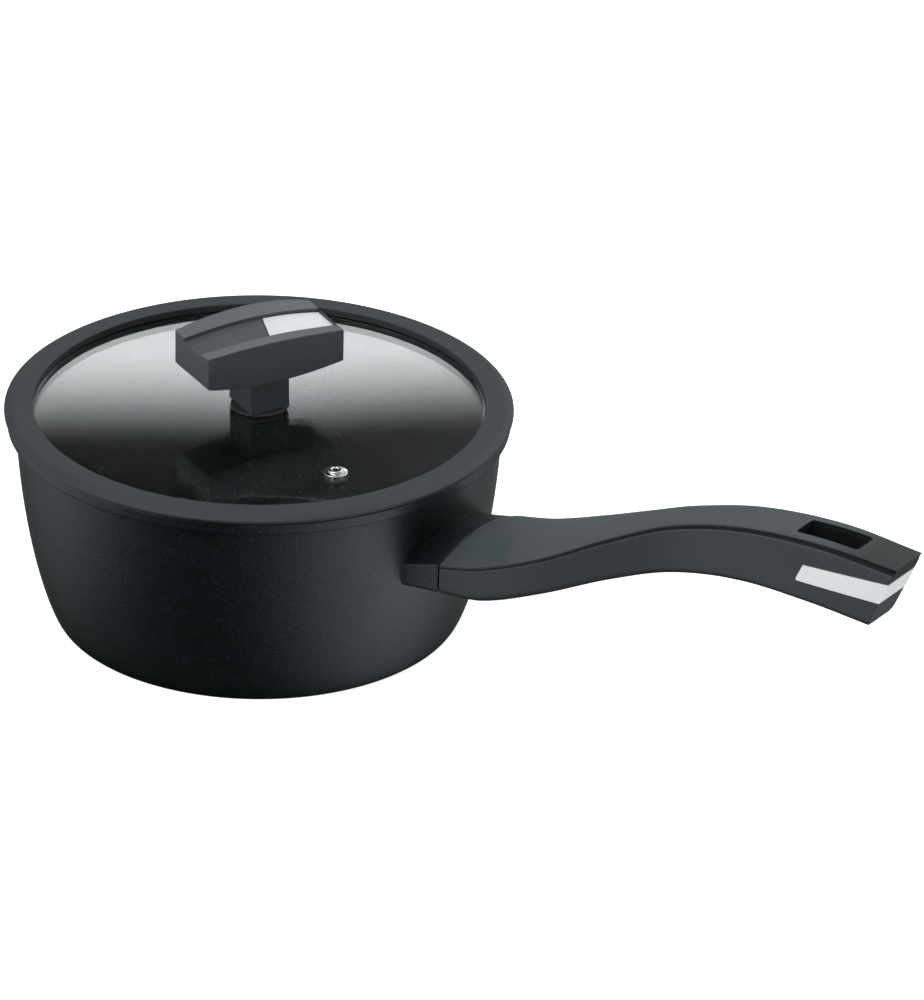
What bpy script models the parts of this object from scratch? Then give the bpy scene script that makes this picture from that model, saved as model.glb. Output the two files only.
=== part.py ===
"""Saucepan with a glass lid, modelled as an assembly of separate pieces.

Units are metres and +Z is up. The pan stands on Z = 0 with its axis on the Z axis, and the
handle points along +X. The lid pieces hang from the empty lid_axis, which slides up that axis.
"""

import math

import bmesh
import bpy
from mathutils import Vector

# Fit between pieces
GAP = 0.0003

# How far a cutter reaches past the surface that it cuts
CUTTER_REACH = 0.0040

# Edge break on turned pieces
EDGE_BREAK = 0.0003

# Pan casting
PAN_HEIGHT = 0.0860
RIM_BAND_RADIUS = 0.0988
RIM_BAND_BOTTOM = 0.0812
RIM_INNER_RADIUS = 0.0920
RIM_ROUND = 0.0010
FLOOR_TOP = 0.0050
OUTER_WALL = ((0.0955, 0.0812), (0.0934, 0.0290), (0.0820, 0.0000), (0.0803, 0.0000))
INNER_WALL = ((0.0922, 0.0812), (0.0906, 0.0330), (0.0795, 0.0050), (0.0770, 0.0050))
WALL_STEPS = 12
ARCH_STEPS = 8
FOOT_INNER_RADIUS = 0.0690
FOOT_RECESS = 0.0020
PAN_SEGMENTS = 72

# Induction plate let into the base
PLATE_THICKNESS = 0.0017

# Cast lug and tongue that carry the handle
LUG_INNER_X = 0.0800
LUG_END_X = 0.1050
LUG_ROOT_HALF_WIDTH = 0.0272
LUG_END_HALF_WIDTH = 0.0258
LUG_ROOT_LOW = 0.0462
LUG_ROOT_HIGH = 0.0543
LUG_ROOT_CROWN = 0.0116
LUG_END_LOW = 0.0485
LUG_END_HIGH = 0.0611
LUG_END_CROWN = 0.0046
LUG_BOTTOM_ROUND = 0.0018
LUG_TOP_ROUND = 0.0008
TONGUE_OVERLAP = 0.0020
TONGUE_END_X = 0.1300
TONGUE_HALF_WIDTH = 0.0110
TONGUE_ROOT_MIDDLE = 0.0546
TONGUE_END_MIDDLE = 0.0603
TONGUE_HALF_THICKNESS = 0.0023

# Steel heat shield between lug and grip
SHIELD_START_X = LUG_END_X + GAP
SHIELD_END_X = SHIELD_START_X + 0.0008
SHIELD_PROUD = 0.0003

# Grip: x, half width, top and bottom height of each station
GRIP_START_X = SHIELD_END_X + GAP
GRIP_STATIONS = (
    (0.1060, 0.0262, 0.0617, 0.0483),
    (0.1250, 0.0255, 0.0667, 0.0507),
    (0.1500, 0.0226, 0.0773, 0.0606),
    (0.1750, 0.0151, 0.0903, 0.0716),
    (0.2000, 0.0105, 0.1021, 0.0809),
    (0.2300, 0.0101, 0.1110, 0.0871),
    (0.2650, 0.0100, 0.1150, 0.0879),
    (0.2985, 0.0092, 0.1139, 0.0863),
)
GRIP_END_X = 0.2985
GRIP_RINGS = 26
GRIP_END_LEAN = 0.42
GRIP_LEAN_START_X = 0.2300
GRIP_CROWN = 0.0046
GRIP_CROWN_START_X = 0.1250
GRIP_CROWN_END_X = 0.2250
GRIP_TOP_ROUND = 0.0007
GRIP_BOTTOM_ROUND = 0.0030
COVER_THICKNESS = 0.0014
COVER_EDGE_ROUND = 0.0005
COVER_INSET = 0.0003
COVER_FLANGE_DEPTH = 0.0025
COVER_FLANGE_BOTTOM = 0.1067
COVER_FLANGE_INSET = 0.0012
COVER_FLANGE_SETBACK = 0.0002

# Hanging slot near the tail of the grip
SLOT_MIDDLE_X = 0.2660
SLOT_LENGTH = 0.0266
SLOT_WIDTH = 0.0118
SLOT_CORNER = 0.0016

# Metal band let into the tail of the grip: line of its upper and of its lower edge
BAND_THICKNESS = 0.0012
BAND_UPPER = ((0.2588, 0.1036), (0.2958, 0.1064))
BAND_LOWER = ((0.2556, 0.0965), (0.2922, 0.0978))
BAND_END_INSET = 0.0004

# Screw that holds the grip to the tongue, with its spring washer
HANDLE_SCREW_X = 0.1190
HANDLE_SCREW_RADIUS = 0.0020
HANDLE_SCREW_HEAD_RADIUS = 0.0040
HANDLE_SCREW_HEAD_LOW = 0.0508
HANDLE_SCREW_HEAD_HIGH = 0.0526
HANDLE_SCREW_TIP = 0.0595
HANDLE_SCREW_BEVEL = 0.0004
HANDLE_SCREW_SOCKET_RADIUS = 0.0016
HANDLE_SCREW_SOCKET_DEPTH = 0.0010
HANDLE_WASHER_RADIUS = 0.0042
HANDLE_WASHER_THICKNESS = 0.0006

# Lid rim
LID_RADIUS = 0.0999
LID_RIM_BOTTOM = PAN_HEIGHT + GAP
LID_OUTER_TOP = 0.0878
LID_TOP = 0.0891
LID_SHOULDER = (0.0972, 0.0889)
LID_INNER_RADIUS = 0.0886
LID_SKIRT_RADIUS = 0.0915
LID_SKIRT_BOTTOM = 0.0800
LID_SKIRT_BEVEL = 0.0006
LID_LIP_RADIUS = 0.0872
LID_SEGMENTS = 72

# Lid glass
GLASS_RADIUS = 0.0900
GLASS_THICKNESS = 0.0039
GLASS_EDGE_TOP = 0.0860
GLASS_RISE = 0.0014
GLASS_RINGS = 5
GLASS_HOLE_RADIUS = 0.0043
GLASS_EDGE_ROUND = 0.0008

# Steam vent
VENT_X = 0.0581
VENT_Y = -0.0281
VENT_HOLE_RADIUS = 0.00135
VENT_TUBE_RADIUS = 0.0026
VENT_FLANGE_RADIUS = 0.0047
VENT_RING_RADIUS = 0.00305
VENT_FLANGE_THICKNESS = 0.0006
VENT_RING_HEIGHT = 0.0014
VENT_EDGE_ROUND = 0.0005
VENT_LOWER_FLANGE_RADIUS = 0.0040
VENT_WASHER_RADIUS = 0.0046
VENT_WASHER_THICKNESS = 0.0008

# Knob
KNOB_ANGLE = math.radians(64.9)
KNOB_HALF_LENGTH = 0.0297
KNOB_HALF_WIDTH = 0.0143
KNOB_END_LOW = 0.1063
KNOB_BELLY = 0.0028
KNOB_FRONT_EDGE = (0.1197, 0.0013)
KNOB_FRONT_RIDGE = (0.1188, 0.0016)
KNOB_BACK_EDGE = (0.1205, 0.0041)
KNOB_BACK_RIDGE = (0.1200, 0.0026)
KNOB_GROOVE_FRONT_Y = -0.0071
KNOB_GROOVE_BACK_Y = 0.0064
KNOB_GROOVE_FRONT = (0.1180, 0.0020)
KNOB_GROOVE_BACK = (0.1183, 0.0028)
KNOB_POCKET_DEPTH = 0.0008
KNOB_INLAY_FRONT_START = 0.0003
KNOB_INLAY_BACK_START = 0.0045
KNOB_INLAY_THICKNESS = 0.0008
KNOB_EDGE_ROUND = 0.0005
KNOB_GROOVE_DRAFT = 0.0002
KNOB_STATIONS = 15
KNOB_POST_LENGTH = 0.0166
KNOB_POST_WIDTH = 0.0189
KNOB_POST_CHAMFER = 0.0004
KNOB_GASKET_RADIUS = 0.0113
KNOB_GASKET_THICKNESS = 0.0007
KNOB_LOWER_GASKET_RADIUS = 0.0100
KNOB_LOWER_GASKET_THICKNESS = 0.0010
KNOB_WASHER_RADIUS = 0.0090
KNOB_WASHER_THICKNESS = 0.0010
KNOB_SCREW_RADIUS = 0.0022
KNOB_SCREW_HEAD_RADIUS = 0.0046
KNOB_SCREW_HEAD_HEIGHT = 0.0026
KNOB_SCREW_TIP = 0.1120
KNOB_SCREW_BEVEL = 0.0006
KNOB_INSERT_RADIUS = 0.0040
KNOB_INSERT_LOW = 0.1040
KNOB_INSERT_HIGH = 0.1124
SCREW_CLEARANCE_RADIUS = KNOB_SCREW_RADIUS + GAP
SMALL_SEGMENTS = 24
GASKET_SEGMENTS = 36


# Scene helpers

def clear_scene():
    for old in list(bpy.data.objects):
        bpy.data.objects.remove(old, do_unlink=True)


def new_collection(name):
    collection = bpy.data.collections.new(name)
    bpy.context.scene.collection.children.link(collection)
    return collection


def make_material(name, colour, roughness, metallic=0.0, transmission=0.0):
    material = bpy.data.materials.new(name)
    material.use_nodes = True
    shader = material.node_tree.nodes["Principled BSDF"]
    shader.inputs["Base Color"].default_value = (*colour, 1.0)
    shader.inputs["Roughness"].default_value = roughness
    shader.inputs["Metallic"].default_value = metallic
    shader.inputs["Transmission Weight"].default_value = transmission
    material.diffuse_color = (*colour, 1.0)
    return material


def add_object(name, mesh, collection, material=None, parent=None):
    thing = bpy.data.objects.new(name, mesh)
    collection.objects.link(thing)
    if material is not None:
        mesh.materials.append(material)
    if parent is not None:
        thing.parent = parent
        thing.location = -parent.location
    return thing


def mark_as_cutter(thing):
    thing.hide_render = True
    thing.display_type = "WIRE"
    return thing


def smooth(mesh, angle=math.radians(35)):
    mesh.shade_smooth()
    mesh.set_sharp_from_angle(angle=angle)


def add_boolean(thing, other, operation):
    boolean = thing.modifiers.new(f"{operation.lower()}_{other.name}", "BOOLEAN")
    boolean.operation = operation
    boolean.solver = "EXACT"
    boolean.object = other


# Shape helpers

def bezier_points(controls, steps):
    """Points of a cubic curve from its first control point to its last."""
    points = []
    for step in range(steps + 1):
        t = step / steps
        weights = ((1 - t) ** 3, 3 * (1 - t) ** 2 * t, 3 * (1 - t) * t * t, t ** 3)
        radius = sum(weight * control[0] for weight, control in zip(weights, controls))
        height = sum(weight * control[1] for weight, control in zip(weights, controls))
        points.append((radius, height))
    return points


def corner(centre, radius, start, end, steps=3):
    """Points of an arc about centre, with its angles in degrees."""
    points = []
    for step in range(steps + 1):
        angle = math.radians(start + (end - start) * step / steps)
        points.append((centre[0] + radius * math.cos(angle), centre[1] + radius * math.sin(angle)))
    return points


def turned(name, profile, collection, material, parent=None, closed=True, segments=SMALL_SEGMENTS,
           centre=(0.0, 0.0)):
    """A turned piece: the profile (radius, height) runs down its outer side."""
    mesh = bpy.data.meshes.new(name)
    vertices = [(radius, 0.0, height) for radius, height in profile]
    edges = [(index, index + 1) for index in range(len(profile) - 1)]
    if closed:
        edges.append((len(profile) - 1, 0))
    mesh.from_pydata(vertices, edges, [])
    thing = add_object(name, mesh, collection, material, parent)
    thing.location.x += centre[0]
    thing.location.y += centre[1]
    screw = thing.modifiers.new("turn", "SCREW")
    screw.axis = "Z"
    screw.steps = segments
    screw.render_steps = segments
    screw.use_merge_vertices = True
    screw.merge_threshold = 0.00001
    screw.use_smooth_shade = True
    return thing


def lofted(name, rings, collection, material=None, parent=None):
    """A closed skin through rings that all have the same number of points."""
    work = bmesh.new()
    loops = [[work.verts.new(point) for point in ring] for ring in rings]
    count = len(rings[0])
    for near, far in zip(loops, loops[1:]):
        for index in range(count):
            after = (index + 1) % count
            work.faces.new((near[index], near[after], far[after], far[index]))
    work.faces.new(list(reversed(loops[0])))
    work.faces.new(loops[-1])
    bmesh.ops.recalc_face_normals(work, faces=work.faces)
    mesh = bpy.data.meshes.new(name)
    work.to_mesh(mesh)
    work.free()
    smooth(mesh)
    return add_object(name, mesh, collection, material, parent)


def block(name, low, high, collection, material=None, parent=None, bevel=0.0):
    """A box between two corners, with its edges broken by a bevel where one is asked for."""
    work = bmesh.new()
    bmesh.ops.create_cube(work, size=1.0)
    size = Vector(high) - Vector(low)
    middle = (Vector(high) + Vector(low)) / 2
    bmesh.ops.scale(work, vec=size, verts=work.verts)
    bmesh.ops.translate(work, vec=middle, verts=work.verts)
    mesh = bpy.data.meshes.new(name)
    work.to_mesh(mesh)
    work.free()
    thing = add_object(name, mesh, collection, material, parent)
    if bevel > 0.0:
        edge_break = thing.modifiers.new("edge_break", "BEVEL")
        edge_break.width = bevel
        edge_break.segments = 2
    return thing


def arched(half_width, height, rise):
    """Points along an arched face, from +Y to -Y, without its two ends."""
    points = []
    for step in range(1, ARCH_STEPS):
        share = 1 - 2 * step / ARCH_STEPS
        points.append((half_width * share, height + rise * (1 - share * share)))
    return points


def rounded_ring(x, half_width, low, high, low_round, high_round, lean=0.0, crown=0.0, hollow=0.0):
    """One ring across the handle: a rounded rectangle that leans back below its top edges.

    Its top rises by crown at the middle, and its underside by hollow."""
    outline = []
    outline += corner((half_width - high_round, high - high_round), high_round, 0, 90, 2)
    outline += arched(half_width - high_round, high, crown)
    outline += corner((-half_width + high_round, high - high_round), high_round, 90, 180, 2)
    outline += corner((-half_width + low_round, low + low_round), low_round, 180, 270, 2)
    outline += reversed(arched(half_width - low_round, low, hollow))
    outline += corner((half_width - low_round, low + low_round), low_round, 270, 360, 2)
    return [(x - lean * (high - height), y, height) for y, height in outline]


# Pan

def build_pan_body(parts, cutters, materials):
    outer = bezier_points(OUTER_WALL, WALL_STEPS)
    inner = bezier_points(INNER_WALL, WALL_STEPS)
    profile = [(0.0, FLOOR_TOP)]
    profile += list(reversed(inner))
    profile += [(RIM_INNER_RADIUS, PAN_HEIGHT - RIM_ROUND)]
    profile += corner((RIM_INNER_RADIUS + RIM_ROUND, PAN_HEIGHT - RIM_ROUND), RIM_ROUND, 150, 90, 2)
    profile += corner((RIM_BAND_RADIUS - RIM_ROUND, PAN_HEIGHT - RIM_ROUND), RIM_ROUND, 90, 0, 3)
    profile += [(RIM_BAND_RADIUS, RIM_BAND_BOTTOM + RIM_ROUND)]
    profile += [(RIM_BAND_RADIUS - RIM_ROUND / 2, RIM_BAND_BOTTOM)]
    profile += outer
    profile += [(FOOT_INNER_RADIUS, 0.0), (FOOT_INNER_RADIUS, FOOT_RECESS), (0.0, FOOT_RECESS)]
    body = turned("pan_body", profile, parts, materials["coat"], closed=False, segments=PAN_SEGMENTS)

    core = [((a[0] + b[0]) / 2, (a[1] + b[1]) / 2) for a, b in zip(outer, inner)]
    core_profile = [(0.0, core[0][1])] + core + [(0.0, core[-1][1])]
    wall_core = turned("wall_core", core_profile, cutters, None, closed=False, segments=PAN_SEGMENTS)
    mark_as_cutter(wall_core)

    lug = mark_as_cutter(build_lug(cutters))
    add_boolean(lug, wall_core, "DIFFERENCE")
    add_boolean(body, lug, "UNION")
    tongue = mark_as_cutter(build_tongue("tongue", cutters, 0.0))
    add_boolean(body, tongue, "UNION")
    add_boolean(body, screw_hole(cutters, "tongue_hole", HANDLE_SCREW_RADIUS + GAP), "DIFFERENCE")
    return body


def build_lug(cutters):
    """Block of the casting that the grip butts against."""
    root = rounded_ring(LUG_INNER_X, LUG_ROOT_HALF_WIDTH, LUG_ROOT_LOW, LUG_ROOT_HIGH,
                        LUG_BOTTOM_ROUND, LUG_TOP_ROUND, crown=LUG_ROOT_CROWN)
    return lofted("lug", [root, lug_end_ring(LUG_END_X, 0.0)], cutters)


def lug_end_ring(x, lift):
    """Outline of the lug's end face at x, which the heat shield shares."""
    return rounded_ring(x, LUG_END_HALF_WIDTH, LUG_END_LOW + lift, LUG_END_HIGH + lift,
                        LUG_BOTTOM_ROUND, LUG_TOP_ROUND, crown=LUG_END_CROWN)


def build_tongue(name, cutters, grow):
    """Flat tongue beyond the lug, or the pocket for it where grow is above zero."""
    half_width = TONGUE_HALF_WIDTH + grow
    half_thickness = TONGUE_HALF_THICKNESS + grow
    rings = []
    for x, middle in ((LUG_END_X - TONGUE_OVERLAP, TONGUE_ROOT_MIDDLE),
                      (TONGUE_END_X + grow, TONGUE_END_MIDDLE)):
        rings.append([(x, -half_width, middle - half_thickness), (x, half_width, middle - half_thickness),
                      (x, half_width, middle + half_thickness), (x, -half_width, middle + half_thickness)])
    return lofted(name, rings, cutters)


def screw_hole(cutters, name, radius):
    low = HANDLE_SCREW_HEAD_LOW
    high = HANDLE_SCREW_TIP + GAP
    profile = [(0.0, high), (radius, high), (radius, low), (0.0, low)]
    hole = turned(name, profile, cutters, None, closed=False, segments=SMALL_SEGMENTS,
                  centre=(HANDLE_SCREW_X, 0.0))
    return mark_as_cutter(hole)


def build_base_plate(parts, materials):
    radius = FOOT_INNER_RADIUS - GAP
    profile = [(0.0, PLATE_THICKNESS), (radius - EDGE_BREAK, PLATE_THICKNESS),
               (radius, PLATE_THICKNESS - EDGE_BREAK), (radius, 0.0), (0.0, 0.0)]
    turned("base_plate", profile, parts, materials["base"], closed=False, segments=PAN_SEGMENTS)


# Handle

def grip_outline(x):
    """Half width, top and bottom of the grip at x, on a smooth curve through its stations."""
    stations = GRIP_STATIONS
    index = 0
    while index < len(stations) - 2 and x > stations[index + 1][0]:
        index += 1
    start, end = stations[index], stations[index + 1]
    before = stations[max(index - 1, 0)]
    after = stations[min(index + 2, len(stations) - 1)]
    span = end[0] - start[0]
    t = (x - start[0]) / span
    values = []
    for column in (1, 2, 3):
        start_slope = (end[column] - before[column]) / (end[0] - before[0]) * span
        end_slope = (after[column] - start[column]) / (after[0] - start[0]) * span
        value = (2 * t ** 3 - 3 * t * t + 1) * start[column] + (t ** 3 - 2 * t * t + t) * start_slope
        value += (3 * t * t - 2 * t ** 3) * end[column] + (t ** 3 - t * t) * end_slope
        values.append(value)
    return values


def grip_lean(x):
    share = max(0.0, (x - GRIP_LEAN_START_X) / (GRIP_END_X - GRIP_LEAN_START_X))
    return GRIP_END_LEAN * share ** 1.5


def grip_crown(x):
    """Rise of the grip's top above its side edges, which dies away along the handle."""
    share = (x - GRIP_CROWN_START_X) / (GRIP_CROWN_END_X - GRIP_CROWN_START_X)
    share = min(1.0, max(0.0, share))
    fade = 1 - share * share * (3 - 2 * share)
    return GRIP_CROWN * fade * (grip_outline(x)[0] / GRIP_STATIONS[0][1]) ** 2


def grip_ring_places():
    span = GRIP_END_X - GRIP_START_X
    return [GRIP_START_X + span * step / (GRIP_RINGS - 1) for step in range(GRIP_RINGS)]


def build_grip_body(parts, cutters, materials):
    rings = []
    for x in grip_ring_places():
        half_width, high, low = grip_outline(x)
        lean = grip_lean(x)
        body_high = high - COVER_THICKNESS - GAP
        body_x = x - lean * (high - body_high)
        rings.append(rounded_ring(body_x, half_width, low, body_high, GRIP_BOTTOM_ROUND,
                                  GRIP_TOP_ROUND, lean, grip_crown(x)))
    body = lofted("grip_body", rings, parts, materials["grip"])
    add_boolean(body, mark_as_cutter(build_tongue("tongue_pocket", cutters, GAP)), "DIFFERENCE")
    add_boolean(body, mark_as_cutter(build_flange("flange_pocket", cutters, GAP)), "DIFFERENCE")
    add_boolean(body, mark_as_cutter(build_band("band_pocket", cutters, None, GAP)), "DIFFERENCE")
    add_boolean(body, mark_as_cutter(build_slot("slot_in_body", cutters)), "DIFFERENCE")
    add_boolean(body, screw_bore(cutters), "DIFFERENCE")
    return body


def screw_bore(cutters):
    """Bore in the underside of the grip for the handle screw, its head and its washer."""
    shaft = HANDLE_SCREW_RADIUS + GAP
    seat = HANDLE_SCREW_HEAD_HIGH + HANDLE_WASHER_THICKNESS + 2 * GAP
    wide = HANDLE_WASHER_RADIUS + GAP
    top = HANDLE_SCREW_TIP + GAP
    bottom = LUG_END_LOW - CUTTER_REACH
    profile = [(0.0, top), (shaft, top), (shaft, seat), (wide, seat), (wide, bottom), (0.0, bottom)]
    bore = turned("screw_bore", profile, cutters, None, closed=False, centre=(HANDLE_SCREW_X, 0.0))
    return mark_as_cutter(bore)


def build_grip_cover(parts, cutters, materials):
    rings = []
    for x in grip_ring_places():
        half_width, high, _ = grip_outline(x)
        rise = grip_crown(x)
        rings.append(rounded_ring(x, half_width - COVER_INSET, high - COVER_THICKNESS, high,
                                  COVER_EDGE_ROUND, GRIP_TOP_ROUND, grip_lean(x), rise, rise))
    cover = lofted("grip_cover", rings, parts, materials["cover"])
    add_boolean(cover, mark_as_cutter(build_flange("flange", cutters, 0.0)), "UNION")
    add_boolean(cover, mark_as_cutter(build_slot("slot_in_cover", cutters)), "DIFFERENCE")
    return cover


def build_flange(name, cutters, grow):
    """Turned-down end of the cover, or the pocket for it where grow is above zero."""
    half_width, high, _ = grip_outline(GRIP_END_X)
    lean = GRIP_END_LEAN
    low = COVER_FLANGE_BOTTOM - grow
    top = high - COVER_THICKNESS / 2
    beyond = CUTTER_REACH if grow > 0.0 else -COVER_FLANGE_SETBACK
    wide = half_width - COVER_FLANGE_INSET + grow
    rings = []
    for along in (-COVER_FLANGE_DEPTH - grow, beyond):
        x = GRIP_END_X + along
        lower_x = x - lean * (high - low)
        upper_x = x - lean * (high - top)
        rings.append([(lower_x, -wide, low), (lower_x, wide, low),
                      (upper_x, wide, top), (upper_x, -wide, top)])
    return lofted(name, rings, cutters)


def build_slot(name, cutters):
    """Upright prism with rounded corners that opens the hanging slot."""
    half_length = SLOT_LENGTH / 2 - SLOT_CORNER
    half_width = SLOT_WIDTH / 2 - SLOT_CORNER
    outline = []
    for sign_x, sign_y, start in ((1, 1, 0), (-1, 1, 90), (-1, -1, 180), (1, -1, 270)):
        centre = (SLOT_MIDDLE_X + sign_x * half_length, sign_y * half_width)
        outline += corner(centre, SLOT_CORNER, start, start + 90, 3)
    low = min(station[3] for station in GRIP_STATIONS)
    high = max(station[2] for station in GRIP_STATIONS) + CUTTER_REACH
    rings = [[(x, y, height) for x, y in outline] for height in (low, high)]
    return lofted(name, rings, cutters)


def build_band(name, collection, material, grow):
    """Metal band around the tail of the grip, or the pocket for it where grow is above zero."""
    depth = BAND_THICKNESS + grow
    outside = CUTTER_REACH if grow > 0.0 else 0.0
    inset = -CUTTER_REACH if grow > 0.0 else BAND_END_INSET
    rings = []
    for (start, end), lift in ((BAND_LOWER, -grow), (BAND_UPPER, grow)):
        slope = (end[1] - start[1]) / (end[0] - start[0])
        near_x = start[0] - grow
        end_x = end[0] - inset
        places = [near_x, (near_x + end_x) / 2, end_x]
        inner_places = [near_x, (near_x + end_x) / 2, end[0] - BAND_END_INSET - depth]
        outer = [(x, grip_outline(min(x, GRIP_END_X))[0] + outside) for x in places]
        inner = [(x, grip_outline(x)[0] - depth) for x in inner_places]
        outline = [(x, -y) for x, y in outer] + [(x, y) for x, y in reversed(outer)]
        outline += [(x, y) for x, y in inner] + [(x, -y) for x, y in reversed(inner)]
        rings.append([(x, y, start[1] + lift + slope * (x - start[0])) for x, y in outline])
    return lofted(name, rings, collection, material)


def build_heat_shield(parts, cutters, materials):
    rings = [lug_end_ring(x, SHIELD_PROUD) for x in (SHIELD_START_X, SHIELD_END_X)]
    shield = lofted("heat_shield", rings, parts, materials["steel"])
    opening = mark_as_cutter(build_tongue("shield_opening", cutters, GAP))
    add_boolean(shield, opening, "DIFFERENCE")


def build_handle_screw(parts, materials):
    head = HANDLE_SCREW_HEAD_RADIUS
    shaft = HANDLE_SCREW_RADIUS
    low = HANDLE_SCREW_HEAD_LOW
    high = HANDLE_SCREW_HEAD_HIGH
    bevel = HANDLE_SCREW_BEVEL
    socket = HANDLE_SCREW_SOCKET_RADIUS
    socket_top = low + HANDLE_SCREW_SOCKET_DEPTH
    profile = [(0.0, HANDLE_SCREW_TIP), (shaft - bevel, HANDLE_SCREW_TIP),
               (shaft, HANDLE_SCREW_TIP - bevel), (shaft, high), (head, high), (head, low + bevel),
               (head - bevel, low), (socket, low), (socket, socket_top), (0.0, socket_top)]
    turned("handle_screw", profile, parts, materials["steel"], closed=False, centre=(HANDLE_SCREW_X, 0.0))


def build_handle_washer(parts, materials):
    low = HANDLE_SCREW_HEAD_HIGH + GAP
    high = low + HANDLE_WASHER_THICKNESS
    hole = HANDLE_SCREW_RADIUS + GAP
    profile = [(hole, high), (HANDLE_WASHER_RADIUS, high), (HANDLE_WASHER_RADIUS, low), (hole, low)]
    turned("handle_washer", profile, parts, materials["steel"], centre=(HANDLE_SCREW_X, 0.0))


# Lid

def glass_top(radius):
    return GLASS_EDGE_TOP + GLASS_RISE * (1 - (radius / GLASS_RADIUS) ** 2)


def build_lid_glass(parts, cutters, materials, lid_axis):
    radii = [GLASS_HOLE_RADIUS + (GLASS_RADIUS - GLASS_HOLE_RADIUS) * step / GLASS_RINGS
             for step in range(GLASS_RINGS + 1)]
    edge = GLASS_EDGE_ROUND
    upper = [(radius, glass_top(radius)) for radius in radii[:-1]]
    lower = [(radius, height - GLASS_THICKNESS) for radius, height in reversed(upper)]
    profile = upper
    profile += [(GLASS_RADIUS - edge, GLASS_EDGE_TOP), (GLASS_RADIUS, GLASS_EDGE_TOP - edge)]
    profile += [(GLASS_RADIUS, GLASS_EDGE_TOP - GLASS_THICKNESS + edge),
                (GLASS_RADIUS - edge, GLASS_EDGE_TOP - GLASS_THICKNESS)]
    profile += lower
    glass = turned("lid_glass", profile, parts, materials["glass"], lid_axis, segments=LID_SEGMENTS)
    hole_radius = VENT_TUBE_RADIUS + GAP
    hole_top = glass_top(0.0) + CUTTER_REACH
    hole_bottom = GLASS_EDGE_TOP - GLASS_THICKNESS - CUTTER_REACH
    hole_profile = [(0.0, hole_top), (hole_radius, hole_top), (hole_radius, hole_bottom),
                    (0.0, hole_bottom)]
    hole = turned("vent_hole", hole_profile, cutters, None, closed=False, centre=(VENT_X, VENT_Y))
    add_boolean(glass, mark_as_cutter(hole), "DIFFERENCE")


def build_lid_rim(parts, materials, lid_axis):
    """Rubber rim: a flat flange over the pan rim and a skirt with a channel for the glass."""
    channel = GLASS_RADIUS + GAP
    channel_low = GLASS_EDGE_TOP - GLASS_THICKNESS - GAP
    channel_high = GLASS_EDGE_TOP + GAP
    edge = (LID_OUTER_TOP - LID_RIM_BOTTOM) / 2
    edge_middle = (LID_OUTER_TOP + LID_RIM_BOTTOM) / 2
    profile = [(LID_INNER_RADIUS, LID_TOP - EDGE_BREAK), (LID_INNER_RADIUS + EDGE_BREAK, LID_TOP)]
    profile += [LID_SHOULDER]
    profile += corner((LID_RADIUS - edge, edge_middle), edge, 75, -90, 6)
    profile += [(LID_SKIRT_RADIUS, LID_RIM_BOTTOM), (LID_SKIRT_RADIUS, LID_SKIRT_BOTTOM + LID_SKIRT_BEVEL),
                (LID_SKIRT_RADIUS - LID_SKIRT_BEVEL, LID_SKIRT_BOTTOM), (LID_LIP_RADIUS, LID_SKIRT_BOTTOM),
                (LID_LIP_RADIUS, channel_low), (channel, channel_low), (channel, channel_high),
                (LID_INNER_RADIUS, channel_high)]
    turned("lid_rim", profile, parts, materials["rubber"], lid_axis, segments=LID_SEGMENTS)


def build_vent(parts, materials, lid_axis):
    radius = math.hypot(VENT_X, VENT_Y)
    seat = glass_top(radius - VENT_FLANGE_RADIUS) + GAP
    under = glass_top(radius + VENT_WASHER_RADIUS) - GLASS_THICKNESS - GAP
    washer_low = under - VENT_WASHER_THICKNESS
    flange_low = washer_low - GAP - VENT_FLANGE_THICKNESS
    flange_top = seat + VENT_FLANGE_THICKNESS
    ring_top = seat + VENT_RING_HEIGHT
    tube = VENT_TUBE_RADIUS
    edge = VENT_EDGE_ROUND
    profile = [(VENT_HOLE_RADIUS, ring_top - edge), (VENT_HOLE_RADIUS + edge, ring_top),
               (VENT_RING_RADIUS - edge, ring_top), (VENT_RING_RADIUS, ring_top - edge),
               (VENT_RING_RADIUS, flange_top), (VENT_FLANGE_RADIUS - EDGE_BREAK, flange_top),
               (VENT_FLANGE_RADIUS, flange_top - EDGE_BREAK), (VENT_FLANGE_RADIUS, seat), (tube, seat),
               (tube, washer_low - GAP), (VENT_LOWER_FLANGE_RADIUS, washer_low - GAP),
               (VENT_LOWER_FLANGE_RADIUS, flange_low), (VENT_HOLE_RADIUS, flange_low)]
    centre = (VENT_X, VENT_Y)
    turned("vent_eyelet", profile, parts, materials["steel"], lid_axis, centre=centre)
    washer_hole = tube + GAP
    washer = [(washer_hole, under), (VENT_WASHER_RADIUS, under), (VENT_WASHER_RADIUS, washer_low),
              (washer_hole, washer_low)]
    turned("vent_washer", washer, parts, materials["seal"], lid_axis, centre=centre)


# Knob

def place_on_knob_axis(thing):
    thing.rotation_euler.z = KNOB_ANGLE


def crowned(base_and_rise, share):
    base, rise = base_and_rise
    return base + rise * (1 - share * share)


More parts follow.
